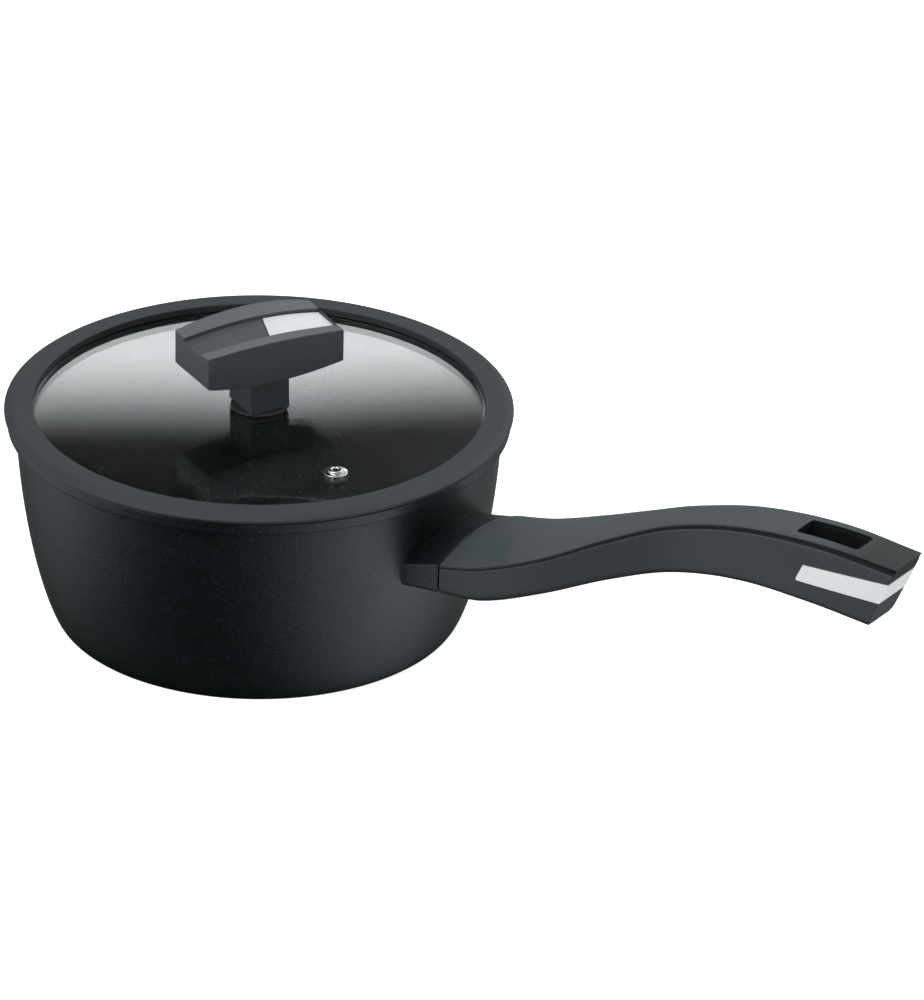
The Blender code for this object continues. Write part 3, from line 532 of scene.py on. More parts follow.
def build_lug(coat, lit_side_coat):
    """Cast lug, from inside the pan wall to the seam with the grip."""
    start = lug_at_wall()
    flat = [Vector((0.0, p.y, p.z)) for p in start]
    axis = Vector((1.0, 0.0, 0.0))
    middle = (LUG_ROOT[1] + LUG_END[2]) / 2
    rings = [[(wall_x(p.y, middle) - LUG_SUNK_END, p.y, middle + (p.z - middle) * LUG_TIP_SIZE)
              for p in start]]
    for angle in evenly(0.0, math.pi / 2, LUG_FILLET_STEPS):
        grown = inset_ring(flat, axis, LUG_FILLET * (math.sin(angle) - 1))
        reach = LUG_FILLET * (1 - math.cos(angle))
        if angle == 0.0:
            rings.append([(wall_x(p.y, p.z) - LUG_SUNK, p.y, p.z) for p in grown])
            reach -= FILLET_SUNK
        rings.append([(wall_x(p.y, p.z) + reach, p.y, p.z) for p in grown])
    start = rings[-1]
    for share in evenly(0.0, 1.0, LUG_LENGTHWISE)[1:]:
        places = [x + (LUG_END_X - x) * share for x, _, _ in start]
        rings.append([(x, *lug_outline(x)[index]) for index, x in enumerate(places)])
    ends = with_round_ends(rings[-3:], SOFT_EDGE)
    lug = lofted("pan_lug", rings[:-2] + ends[-5:], coat)
    # Painted light: the lug's upright sides get a lighter copy of the coat
    recoat(lug, lit_side_coat, lambda centre, normal: abs(normal.y) > 0.7)
    place(lug, PAN, "non_stick_coat", "pan_body")


def build_heat_shield(steel, shade):
    """Thin plate in the seam, whose edge shows along the far part of its top; its lower and near faces
    have painted shade.
    """
    rings = []
    for x in (SHIELD_LOW.x, SHIELD_HIGH.x):
        outline = [Vector((x, y, z)) for y, z in lug_outline(LUG_END_X)]
        ring = []
        for edge, sunk in zip(outline, inset_ring(outline, Vector((1.0, 0.0, 0.0)), SHIELD_SUNK)):
            far_share = min(1.0, max(0.0, 2.0 * (edge.y / LUG_END[0] + 0.6)))
            if edge.z < LUG_END[2]:
                far_share = 0.0
            ring.append(sunk.lerp(edge + Vector((0.0, 0.0, SHIELD_RAISED)), far_share))
        rings.append(ring)
    shield = lofted("heat_shield_plate", with_round_ends(rings, SHIELD_EDGE, 2), steel)
    # Painted shade: the plate's lower and near faces take the dark shade material
    recoat(shield, shade, lambda centre, normal: centre.z < LUG_END[2] or centre.y < -0.2 * LUG_END[0])
    place(shield, PAN, "polished_steel", "heat_shield")


def build_base_plate(steel):
    """Induction plate with rings turned into its lower face."""
    radius = PLATE_HIGH.y
    top = PLATE_HIGH.z
    profile = [(0.0, top), (radius - PLATE_ROUND, top), (radius, top - PLATE_ROUND),
               (radius, PLATE_ROUND), (radius - PLATE_ROUND, 0.0)]
    ring = radius - RING_FIRST_INSET
    while ring > RING_LEAST_RADIUS:
        profile += [(ring + RING_LIP, 0.0), (ring + RING_FLOOR, RING_DEPTH),
                    (ring - RING_FLOOR, RING_DEPTH), (ring - RING_LIP, 0.0)]
        ring -= RING_PITCH
    profile += [(0.0, 0.0)]
    plate = turned("induction_plate", profile, steel, PLATE_SEGMENTS, closed=False)
    place(plate, PAN, "base_steel", "base_plate")


# Grip

GRIP_STATIONS = (
    (0.1060, 0.0262, 0.0617, 0.0483),
    (0.1250, 0.0255, 0.0667, 0.0507),
    (0.1500, 0.0226, 0.0773, 0.0606),
    (0.1750, 0.0151, 0.0903, 0.0716),
    (0.2000, 0.0105, 0.1021, 0.0809),
    (0.2300, 0.0101, 0.1110, 0.0871),
    (0.2650, 0.0100, 0.1150, 0.0879),
    (0.2985, 0.0092, 0.1139, 0.0863),
)
GRIP_START_X = SHIELD_HIGH.x + SEAM_GAP
GRIP_END_X = COVER_HIGH.x
GRIP_RINGS = 150
GRIP_END_LEAN = 0.42
GRIP_LEAN_START_X = 0.2300
GRIP_CROWN = 0.0046
GRIP_CROWN_START_X = 0.1250
GRIP_CROWN_END_X = 0.2250
COVER_THICKNESS = 0.0014
COVER_CROWN = 0.0003
COVER_EDGE_ROUND = 0.0003
COVER_INSET = 0.0002
BODY_CORNER = 0.0030
GROOVE_DEPTH = (0.00025, 0.00040)
GROOVE_HEIGHT = (0.0007, 0.0017)
FLANGE_DEPTH = 0.0025
FLANGE_BOTTOM = 0.1067
FLANGE_INSET = 0.0012
SLOT_MIDDLE_X = 0.2660
SLOT_LENGTH = 0.0266
SLOT_WIDTH = 0.0118
SLOT_CORNER = 0.0016
SLOT_CORNERS = ((1, 1), (-1, 1), (-1, -1), (1, -1))
SLOT_CORNER_STEPS = 6
SLOT_LONG_STEPS = 16
SLOT_SHORT_STEPS = 6
SLOT_TOP_LIP = ((0.0030, 0.0003), (0.0002, 0.0003), (0.0000, 0.00018), (-0.00012, 0.00006),
                (-0.0003, 0.0))
SLOT_BOTTOM_LIP = ((0.0004, 0.0), (0.00015, 0.00012), (-0.0001, 0.0004), (-0.003, 0.0006))
BAND_THICKNESS = 0.0012
BAND_UPPER = ((0.2588, 0.1036), (0.2958, 0.1064))
BAND_LOWER = ((0.2556, 0.0965), (0.2922, 0.0978))
BAND_HEIGHT = 0.0078
BAND_CORNER = 0.0012
BAND_RISES = (0.0, 0.1, 0.25, 0.45, 0.7, 1.0, None)
BAND_STEPS = 12
BAND_END_INSET = 0.0004
BAND_FOLD = ((0.00085, 0.0), (0.0007, 0.00018), (0.00055, 0.0))
POCKET_REACH = 0.004
FLANGE_EDGE = 0.0002
BORE_DEPTH = 0.0035
BORE_CLEARANCE = 0.0006
BORE_BELOW = 0.010
# Share of the groove's height, from the cover down, that gets painted shade
GROOVE_PAINTED_SHADE_SHARE = 0.62
FACE_REACH = 0.0002


def grip_outline(x):
    """Half width, top and bottom of the grip at x, on a smooth curve through its stations."""
    stations = GRIP_STATIONS
    index = 0
    while index < len(stations) - 2 and x > stations[index + 1][0]:
        index += 1
    start, end = stations[index], stations[index + 1]
    before = stations[max(index - 1, 0)]
    after = stations[min(index + 2, len(stations) - 1)]
    span = end[0] - start[0]
    t = (x - start[0]) / span
    values = []
    for column in (1, 2, 3):
        start_slope = (end[column] - before[column]) / (end[0] - before[0]) * span
        end_slope = (after[column] - start[column]) / (after[0] - start[0]) * span
        value = (2 * t ** 3 - 3 * t * t + 1) * start[column] + (t ** 3 - 2 * t * t + t) * start_slope
        value += (3 * t * t - 2 * t ** 3) * end[column] + (t ** 3 - t * t) * end_slope
        values.append(value)
    return values


def grip_lean(x):
    share = max(0.0, (x - GRIP_LEAN_START_X) / (GRIP_END_X - GRIP_LEAN_START_X))
    return GRIP_END_LEAN * share ** 1.5


def grip_crown(x):
    """Rise of the grip's top above its side edges, which dies away along the handle."""
    share = share_of(x, GRIP_CROWN_START_X, GRIP_CROWN_END_X)
    fade = 1 - share * share * (3 - 2 * share)
    return GRIP_CROWN * fade * (grip_outline(x)[0] / GRIP_STATIONS[0][1]) ** 2


def grip_point(x, y, z):
    """A point of the grip's section at x, leaned at the tail."""
    high = grip_outline(x)[1]
    return (x - grip_lean(x) * (high - z), y, z)


def groove_size(x):
    """Depth and height of the shaded groove under the cover, which opens towards the tail."""
    share = share_of(x, GRIP_START_X, GRIP_END_X)
    return (GROOVE_DEPTH[0] + GROOVE_DEPTH[1] * share,
            GROOVE_HEIGHT[0] + GROOVE_HEIGHT[1] * share ** 1.5)


def body_ring(x):
    """Section of the grip's body at x, from its near top edge round underneath."""
    half, high, low = grip_outline(x)
    depth, tall = groove_size(x)
    top = high - COVER_THICKNESS - GAP
    corner = (half - BODY_CORNER, low + BODY_CORNER)
    side = [(half - depth * (1 - t * t * (3 - 2 * t)), top - tall * t) for t in evenly(0.0, 1.0, 8)]
    side += [(half, z) for z in evenly(top - tall, corner[1], 8)[1:-1]]
    side += arc(corner, BODY_CORNER, 0, -90, 8)
    side += [(y, low) for y in evenly(corner[0], 0.0, 5)[1:-1]]
    outline = side + [(0.0, low)] + [(-y, z) for y, z in reversed(side)]
    outline += arched(half - depth, top, grip_crown(x), evenly(-1.0, 1.0, 16)[1:-1])
    return [grip_point(x, y, z) for y, z in outline]


def cover_ring(x):
    """Section of the cover at x; its sides draw in towards the groove."""
    half, high, _ = grip_outline(x)
    depth, _ = groove_size(x)
    wide = half - COVER_INSET
    narrow = half - depth
    low = high - COVER_THICKNESS
    edge = high - COVER_CROWN
    round_top = COVER_EDGE_ROUND
    crown = grip_crown(x)
    waist = (wide - (wide - narrow) * 0.6, (edge + low) / 2 - COVER_INSET)
    outline = arched(wide, edge, crown + COVER_CROWN, evenly(-1.0, 1.0, 24)[1:-1])
    outline += arc((wide - round_top, edge - round_top), round_top, 75, -30, 4) + [waist]
    outline += arched(narrow, low, crown, evenly(1.0, -1.0, 16)) + [(-waist[0], waist[1])]
    outline += arc((-wide + round_top, edge - round_top), round_top, 210, 105, 4)
    return [grip_point(x, y, z) for y, z in outline]


def slot_cutter(name):
    """Cutter for the hanging slot, with a soft lip along both faces."""
    half_length = SLOT_LENGTH / 2 - SLOT_CORNER
    half_width = SLOT_WIDTH / 2 - SLOT_CORNER
    centres = [(SLOT_MIDDLE_X + x * half_length, y * half_width) for x, y in SLOT_CORNERS]
    flat = []
    for index, centre in enumerate(centres):
        start = 90 * index
        following = centres[(index + 1) % len(centres)]
        corner_points = arc(centre, SLOT_CORNER, start, start + 90, SLOT_CORNER_STEPS)
        flat += [Vector((*point, 0.0)) for point in corner_points]
        before = flat[-1]
        after = Vector((*arc(following, SLOT_CORNER, start + 90, start + 180, 1)[0], 0.0))
        steps = SLOT_SHORT_STEPS if index % 2 else SLOT_LONG_STEPS
        flat += [before + (after - before) * (step / steps) for step in range(1, steps)]
    rings = []
    up = Vector((0.0, 0.0, 1.0))
    for column, lip in ((1, SLOT_TOP_LIP), (2, SLOT_BOTTOM_LIP)):
        for height, grow in lip:
            ring = inset_ring(flat, up, -grow)
            rings.append([(p.x, p.y, grip_outline(p.x)[column] + height) for p in ring])
    return lofted(name, rings, None, even=False)


def band_rings(grow, outside):
    """Rings from the band's lower to its upper line; grow and outside make its pocket."""
    depth = BAND_THICKNESS + grow
    corner = BAND_CORNER + grow
    rings = []
    for rise in BAND_RISES:
        share = 1.0 if rise is None else corner * rise / BAND_HEIGHT
        lower = 1.0 - share
        start = [a * lower + b * share for a, b in zip(BAND_LOWER[0], BAND_UPPER[0])]
        end = [a * lower + b * share for a, b in zip(BAND_LOWER[1], BAND_UPPER[1])]
        lift = grow * (2 * share - 1)
        cut_back = 0.0 if rise is None else corner * (1 - math.sqrt(rise * (2 - rise)))
        slope = (end[1] - start[1]) / (end[0] - start[0])
        near = start[0] - grow + cut_back
        far = end[0] + (outside or -BAND_END_INSET)
        last = end[0] - BAND_END_INSET - depth
        outer = [(x, grip_outline(min(x, GRIP_END_X))[0] + outside)
                 for x in evenly(near, far, BAND_STEPS)]
        inner = [(x, grip_outline(x)[0] - depth) for x in evenly(near, last, BAND_STEPS)]
        if not outside:
            x, y = outer[-1]
            outer[-1:] = [(x - back, y - sunk) for back, sunk in BAND_FOLD] + [(x, y)]
        outline = [(x, -y) for x, y in outer] + [(x, y) for x, y in reversed(outer)]
        outline += [(x, y) for x, y in inner] + [(x, -y) for x, y in reversed(inner)]
        rings.append([(x, y, start[1] + lift + slope * (x - start[0])) for x, y in outline])
    return rings


def flange_rings(grow):
    """Rings of the cover's turned-down end; grow makes its pocket."""
    half, high, _ = grip_outline(GRIP_END_X)
    low = FLANGE_BOTTOM - grow
    top = high - COVER_THICKNESS / 2
    beyond = POCKET_REACH if grow > 0.0 else 0.0
    rings = []
    wide = half - FLANGE_INSET + grow
    for along in (-FLANGE_DEPTH - grow, beyond):
        x = GRIP_END_X + along
        rings.append([(x - GRIP_END_LEAN * (high - z), y, z)
                      for y, z in ((-wide, low), (wide, low), (wide, top), (-wide, top))])
    return rings


def in_slot(centre, normal):
    """Whether a face is an inner wall of the hanging slot; these walls get painted shade."""
    along = abs(centre.x - SLOT_MIDDLE_X)
    inside = along < SLOT_LENGTH / 2 + FACE_REACH and abs(centre.y) < SLOT_WIDTH / 2 + FACE_REACH
    return inside and abs(normal.z) < 0.5


def in_painted_groove_shade(centre, normal):
    """Whether a face lies in the upper part of the groove under the cover, which gets painted shade."""
    high = grip_outline(min(centre.x, GRIP_END_X))[1]
    x = min(GRIP_END_X, centre.x + grip_lean(centre.x) * (high - centre.z))
    half, high, _ = grip_outline(x)
    depth, reach = groove_size(x)
    top = high - COVER_THICKNESS - GAP
    return (abs(centre.y) > half - depth - FACE_REACH and abs(normal.x) < 0.8
            and top - GROOVE_PAINTED_SHADE_SHARE * reach < centre.z < top + FACE_REACH / 2)


def build_grip(plastic, soft, shade, silver):
    """Body with its pockets, slot and screw bore, soft cover, and silver band."""
    places = evenly(GRIP_START_X, GRIP_END_X, GRIP_RINGS - 1)
    body = lofted("grip_shell", with_round_ends([body_ring(x) for x in places], SOFT_EDGE), plastic)
    screw_x = (SCREW_LOW.x + SCREW_HIGH.x) / 2
    bore = drill("bore", SCREW_HIGH.y + BORE_CLEARANCE, SCREW_LOW.z + BORE_DEPTH,
                 SCREW_LOW.z - BORE_BELOW, (screw_x, 0.0))
    cut(body, lofted("pocket", flange_rings(GAP), None, even=False),
        lofted("band_pocket", band_rings(GAP, POCKET_REACH), None, even=False),
        slot_cutter("slot"), bore)
    # Painted shade: the slot's inner walls and the upper part of the groove under the cover take the dark
    # shade material
    recoat(body, shade, lambda centre, normal: in_slot(centre, normal) or in_painted_groove_shade(centre, normal))
    place(body, PAN, "grip_plastic", "grip_body")

    cover = lofted("grip_top_cover", with_round_ends([cover_ring(x) for x in places], SOFT_EDGE), soft)
    flange = lofted("flange", with_round_ends(flange_rings(0.0), FLANGE_EDGE, 2), None, even=False)
    cut(cover, flange, operation="UNION")
    cut(cover, slot_cutter("slot"))
    # Painted shade on the slot's inner walls in the cover
    recoat(cover, shade, in_slot)
    place(cover, PAN, "grip_soft_cover", "grip_cover")

    band = lofted("grip_tail_band", with_round_ends(band_rings(0.0, 0.0), CRISP_EDGE, 2), silver)
    place(band, PAN, "brushed_silver", "grip_band")


# Lid

GLASS_RADIUS = GLASS_HIGH.y
GLASS_THICKNESS = 0.0039
GLASS_EDGE_TOP = 0.0860
GLASS_RISE = 0.0014
GLASS_HOLE_RADIUS = 0.0043
LID_INNER_RADIUS = 0.0886
LID_OUTER_TOP = 0.0878
LID_SKIRT_RADIUS = 0.0915
LID_LIP_RADIUS = 0.0872
LID_SEGMENTS = 320
GLASS_RING_COUNT = 56
GLASS_EDGE_ROUND = 0.0009
GLASS_EDGE_STEPS = 8
VENT_HOLE_RADIUS = 0.0029
HOLE_REACH = 0.01
RING_TOP_RADII = (0.00035, 0.0022, 0.0006, 0.0004)
RING_SKIRT_RADII = (0.0003, 0.0006, 0.0003, 0.0001, 0.0001, 0.0001, 0.0001)


def glass_top(radius):
    """Height of the domed glass at a radius."""
    return GLASS_EDGE_TOP + GLASS_RISE * (1 - (radius / GLASS_RADIUS) ** 2)


def build_glass(glass):
    """Domed pane with a rounded edge, a knob hole and a vent hole."""
    edge_radius = GLASS_RADIUS - GLASS_EDGE_ROUND
    radii = evenly(GLASS_HOLE_RADIUS, edge_radius, GLASS_RING_COUNT)
    upper = [(r, glass_top(r)) for r in radii]
    lower = [(r, glass_top(r) - GLASS_THICKNESS) for r in reversed(radii)]
    middle = (upper[-1][1] + lower[0][1]) / 2
    half = (upper[-1][1] - lower[0][1]) / 2
    edge = [(edge_radius + GLASS_EDGE_ROUND * math.sin(angle), middle + half * math.cos(angle))
            for angle in evenly(0.0, math.pi, GLASS_EDGE_STEPS)[1:-1]]
    pane = turned("lid_pane", upper + edge + lower, glass, LID_SEGMENTS, even=False)
    cut(pane, drill("hole", VENT_HOLE_RADIUS, GLASS_HIGH.z + HOLE_REACH, GLASS_LOW.z - HOLE_REACH,
                    VENT_CENTRE))
    place(pane, LID, "lid_clear_glass", "lid_glass")


def build_lid_ring(rubber):
    """Rubber ring: flange over the pan's rim, skirt inside it, and channel for the glass."""
    outer = RIM_HIGH.y
    top = RIM_HIGH.z
    under = PAN_HIGH.z + GAP
    channel = GLASS_RADIUS + GAP
    channel_low = GLASS_EDGE_TOP - GLASS_THICKNESS - GAP
    channel_high = GLASS_EDGE_TOP + GAP
    corners = [(LID_INNER_RADIUS, top), (outer - 0.0027, top - 0.0002), (outer, LID_OUTER_TOP - 0.0004),
               (outer, under), (LID_SKIRT_RADIUS, under), (LID_SKIRT_RADIUS, RIM_LOW.z),
               (LID_LIP_RADIUS, RIM_LOW.z), (LID_LIP_RADIUS, channel_low), (channel, channel_low),
               (channel, channel_high), (LID_INNER_RADIUS, channel_high)]
    ring = turned("lid_ring", filleted(corners, RING_TOP_RADII + RING_SKIRT_RADII, 5), rubber,
                  LID_SEGMENTS)
    place(ring, LID, "lid_rubber", "lid_rim")


COLLAR_HEIGHT = 0.0014
EYELET_HOLE = 0.00135
EYELET_TUBE = 0.0026
EYELET_COLLAR = 0.00305
ROLL_RADIUS = 0.0040
ROLL_THICKNESS = 0.0006
EYELET_ROUNDS = (0.00055, 0.00055, 0.0002, 0.00025, 0.0001, 0.0001, 0.0001, 0.0001, 0.0002, 0.0002)


def build_vent(steel, seal):
    """Steel eyelet with a raised collar, rolled over under the glass, and its washer."""
    flange = (EYELET_HIGH.y - EYELET_LOW.y) / 2
    top, low = EYELET_HIGH.z, EYELET_LOW.z
    seat = top - COLLAR_HEIGHT
    rolled = low + ROLL_THICKNESS
    hole, tube, collar = EYELET_HOLE, EYELET_TUBE, EYELET_COLLAR
    corners = [(hole, top), (collar, top), (collar - 0.0001, seat + 0.0005), (flange, seat + 0.0004),
               (flange, seat), (tube, seat), (tube, rolled), (ROLL_RADIUS, rolled), (ROLL_RADIUS, low),
               (hole, low)]
    eyelet = turned("vent_steel_eyelet", filleted(corners, EYELET_ROUNDS, 6), steel, centre=VENT_CENTRE)
    place(eyelet, LID, "polished_steel", "vent_eyelet")
    radius = (VENT_WASHER_HIGH.y - VENT_WASHER_LOW.y) / 2
    high, under = VENT_WASHER_HIGH.z, VENT_WASHER_LOW.z
    corners = [(tube + GAP, high), (radius, high), (radius, under), (tube + GAP, under)]
    washer = turned("vent_seal", filleted(corners, [0.0001, 0.0003, 0.0003, 0.0001]), seal, 64,
                    VENT_CENTRE)
    place(washer, LID, "seal_rubber", "vent_washer")


# Knob

KNOB_ANGLE = math.radians(64.9)
KNOB_HALF_LENGTH = 0.0297
KNOB_HALF_WIDTH = 0.0143
KNOB_END_LOW = 0.1063
KNOB_BELLY = 0.0028
KNOB_FRONT_EDGE = (0.1197, 0.0013)
KNOB_FRONT_RIDGE = (0.1188, 0.0016)
KNOB_BACK_EDGE = (0.1205, 0.0041)
KNOB_BACK_RIDGE = (0.1200, 0.0026)
GROOVE_FRONT_Y = -0.0071
GROOVE_BACK_Y = 0.0064
GROOVE_FRONT = (0.1180, 0.0020)
GROOVE_BACK = (0.1183, 0.0028)
POCKET_DEPTH = 0.0008
INLAY_FRONT_START = 0.0003
INLAY_BACK_START = 0.0045
INLAY_START = (INLAY_FRONT_START + INLAY_BACK_START) / 2
POST_LENGTH = 0.0166
POST_WIDTH = 0.0189
POST_CORNER = 0.0006
POST_FLARE = 0.02
POST_INTO_BAR = 0.0006
POST_STEPS = 5
KNOB_STEPS = 22
KNOB_END_ROUND = 0.0004
KNOB_ROUNDS = (0.0004, 0.0004, 0.0005, 0.00022, 0.00012, 0.00012, 0.00022, 0.00035)
POCKET_STEP = 0.00001
GROOVE_LEAN = 0.0002
INLAY_PROUD = 0.0003
INLAY_THICKNESS = 0.0010
INLAY_ROUNDS = (0.00005, 0.00005, 0.00015, 0.00015)


def crowned(base_and_rise, share):
    """Height on an arched line of the bar, at a share of its half length."""
    return base_and_rise[0] + base_and_rise[1] * (1 - share * share)


def on_knob(point):
    """A point turned from the knob's axes to the lid's."""
    return Matrix.Rotation(KNOB_ANGLE, 3, "Z") @ Vector(point)


def inlay_slant(y, share):
    """How far the slanted end of the inlay moves a point along the bar; none at its ends."""
    width_share = share_of(y, GROOVE_FRONT_Y, GROOVE_BACK_Y)
    start = INLAY_FRONT_START + (INLAY_BACK_START - INLAY_FRONT_START) * width_share
    return (start - INLAY_START) * (1 - abs(share))


def knob_section(s, pocket):
    """Section of the bar at s along it, with its groove made deeper by pocket."""
    share = s / KNOB_HALF_LENGTH
    low = KNOB_END_LOW - KNOB_BELLY * (1 - share * share)
    floor_front = crowned(GROOVE_FRONT, share) - pocket
    floor_back = crowned(GROOVE_BACK, share) - pocket
    wide = KNOB_HALF_WIDTH
    corners = [(-wide, low), (wide, low), (wide, crowned(KNOB_BACK_EDGE, share)),
               (GROOVE_BACK_Y + GROOVE_LEAN, crowned(KNOB_BACK_RIDGE, share)),
               (GROOVE_BACK_Y, floor_back), (GROOVE_FRONT_Y, floor_front),
               (GROOVE_FRONT_Y - GROOVE_LEAN, crowned(KNOB_FRONT_RIDGE, share)),
               (-wide, crowned(KNOB_FRONT_EDGE, share))]
    return [on_knob((s + inlay_slant(y, share), y, z)) for y, z in filleted(corners, KNOB_ROUNDS, 4)]


def build_knob_bar(plastic, lit_ridge):
    left_end = INLAY_START - GAP
    rings = [knob_section(s, 0.0) for s in evenly(-KNOB_HALF_LENGTH, left_end, KNOB_STEPS)]
    rings += [knob_section(left_end + POCKET_STEP, POCKET_DEPTH)]
    rings += [knob_section(s, POCKET_DEPTH) for s in evenly(left_end, KNOB_HALF_LENGTH, KNOB_STEPS)[1:]]
    bar = lofted("knob_handle", with_round_ends(rings, KNOB_END_ROUND), plastic)

    # Painted light: the upward faces of the ridges beside the groove get a lighter copy of the knob
    # plastic
    def on_lit_ridge(centre, normal):
        y = (Matrix.Rotation(-KNOB_ANGLE, 3, "Z") @ centre).y
        return normal.z > 0.6 and not GROOVE_FRONT_Y < y < GROOVE_BACK_Y

    recoat(bar, lit_ridge, on_lit_ridge)
    place(bar, LID, "knob_plastic", "knob_bar")


def build_knob_inlay(silver):
    rings = []
    front_y = GROOVE_FRONT_Y + GAP
    back_y = GROOVE_BACK_Y - GAP
    for s in evenly(INLAY_START + GAP, KNOB_HALF_LENGTH - GAP, KNOB_STEPS):
        share = s / KNOB_HALF_LENGTH
        front_high = crowned(GROOVE_FRONT, share) + INLAY_PROUD
        back_high = crowned(GROOVE_BACK, share) + INLAY_PROUD
        corners = [(front_y, front_high - INLAY_THICKNESS), (back_y, back_high - INLAY_THICKNESS),
                   (back_y, back_high), (front_y, front_high)]
        section = filleted(corners, INLAY_ROUNDS, 2)
        rings.append([on_knob((s + inlay_slant(y, share), y, z)) for y, z in section])
    inlay = lofted("knob_silver_inlay", with_round_ends(rings, CRISP_EDGE, 2), silver)
    place(inlay, LID, "brushed_silver", "knob_inlay")


def build_knob(plastic, lit_ridge, silver, seal):
    """Bar with its inlay, post, and gasket on the glass."""
    build_knob_bar(plastic, lit_ridge)
    build_knob_inlay(silver)

    corners = [(x * POST_LENGTH / 2, y * POST_WIDTH / 2) for x, y in ((-1, -1), (1, -1), (1, 1), (-1, 1))]
    section = filleted(corners, [POST_CORNER] * 4, 4)
    rings = []
    for step, z in enumerate(evenly(POST_LOW.z, BAR_LOW.z + POST_INTO_BAR, POST_STEPS)):
        flare = 1.0 + POST_FLARE * (1 - step / POST_STEPS) ** 2
        rings.append([on_knob((x * flare, y * flare, z)) for x, y in section])
    post = lofted("knob_stem", with_round_ends(rings, SOFT_EDGE), plastic)
    place(post, LID, "knob_plastic", "knob_post")

    radius = GASKET_HIGH.y
    corners = [(0.0, GASKET_HIGH.z), (radius, GASKET_HIGH.z), (radius, GASKET_LOW.z), (0.0, GASKET_LOW.z)]
    gasket = turned("knob_glass_gasket", filleted(corners, [0.0, SOFT_EDGE, 0.0001, 0.0], 3), seal,
                    closed=False)
    place(gasket, LID, "seal_rubber", "knob_gasket")


def repaint(material, *nodes):
    """Gives CAD nodes that stay as they are their finished material."""
    for node in nodes:
        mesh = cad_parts[node].data
        mesh.materials.clear()
        mesh.materials.append(material)


# Stage

RING_TOP = RIM_HIGH.z
CAMERA_AZIMUTH = 37.0
CAMERA_ELEVATION = 26.332
CAMERA_DISTANCE = 2.5
CAMERA_YAW = 2.052
CAMERA_PITCH = 27.199
CAMERA_ROLL = 1.2
CAMERA_SENSOR = 36.0
CAMERA_LENS = 248.4
FLOOR_SIZE = 30.0
FLOOR_GLOW = 0.85


def build_camera():
    """Long-lens camera, set by its place round the lid ring's top and by where it points."""
    azimuth, elevation, yaw, pitch, roll = (math.radians(value) for value in (
        CAMERA_AZIMUTH, CAMERA_ELEVATION, CAMERA_YAW, CAMERA_PITCH, CAMERA_ROLL))
    turn = Matrix.Rotation(azimuth, 3, "Z")
    place_of = turn @ Vector((0.0, -math.cos(elevation), math.sin(elevation))) * CAMERA_DISTANCE
    ahead = Vector((math.sin(yaw) * math.cos(pitch), math.cos(yaw) * math.cos(pitch), -math.sin(pitch)))
    side = Vector((math.cos(yaw), -math.sin(yaw), 0.0))
    above = side.cross(ahead)
    right = side * math.cos(roll) + above * math.sin(roll)
    up = above * math.cos(roll) - side * math.sin(roll)
    axes = Matrix((turn @ right, turn @ up, -(turn @ ahead))).transposed()
    data = bpy.data.cameras.new("camera")
    data.sensor_fit = "HORIZONTAL"
    data.sensor_width = CAMERA_SENSOR
    data.lens = CAMERA_LENS
    data.clip_end = 100.0
    camera = bpy.data.objects.new("camera", data)
    bpy.context.scene.collection.objects.link(camera)
    camera.matrix_world = Matrix.Translation(place_of + Vector((0.0, 0.0, RING_TOP))) @ axes.to_4x4()
    bpy.context.scene.camera = camera


def build_floor():
    """White paper with a faint glow, so that it stays pale in every view."""
    material, tree, shader, coordinates = new_material(
        "floor_paper", Roughness=0.9, Specular_IOR_Level=0.0, Emission_Strength=FLOOR_GLOW,
        Emission_Color=(1.0, 1.0, 1.0, 1.0))
    fibres = noise(tree, coordinates, 40.0, 3.0)
    wire(tree, shader, mix_colours(tree, fibres, (0.80, 0.80, 0.80), (0.84, 0.84, 0.84)))
    work = bmesh.new()
    bmesh.ops.create_grid(work, x_segments=8, y_segments=8, size=FLOOR_SIZE)
    floor = finish_mesh("floor", work, material, even=False)
    floor.location.z = PAN_LOW.z
    floor.visible_glossy = False
    floor.visible_diffuse = False


def heading(angle):
    """Unit direction on the floor at an angle clockwise from the camera's own side."""
    degrees = math.radians(CAMERA_AZIMUTH - 90.0 + angle)
    return Vector((math.cos(degrees), math.sin(degrees), 0.0))


# Soft panels of the studio: angle round the pan, height angle and strength

PANELS = (
    (-60.0, 62.0, 3.0), (120.0, 62.0, 0.5), (135.0, 38.0, 1.6), (90.0, 38.0, 0.15),
    (-60.0, 14.0, 0.95), (-90.0, -8.0, 1.0), (-120.0, -8.0, 0.6), (180.0, -8.0, 0.25),
    (30.0, -8.0, 0.43), (60.0, -8.0, 0.37), (90.0, -8.0, 0.64), (60.0, -30.0, 0.88),
    (90.0, -30.0, 0.72), (30.0, -30.0, 0.30), (30.0, 20.0, 0.30), (140.0, -8.0, 0.30),
)
PANEL_EDGE = math.cos(math.radians(38.0))
PANEL_CORE = math.cos(math.radians(6.0))
BACKDROP_STRENGTH = 3.1
BACKDROP_TOP = (0.405, 0.473)
BACKDROP_BOTTOM = (0.30, 0.40)
BACKDROP_SIDES = (0.15, 0.65)
BACKDROP_DROOP = 0.17
BACKDROP_LEAN = 0.09
SURROUND_TINT = (0.955, 0.985, 1.0, 1.0)


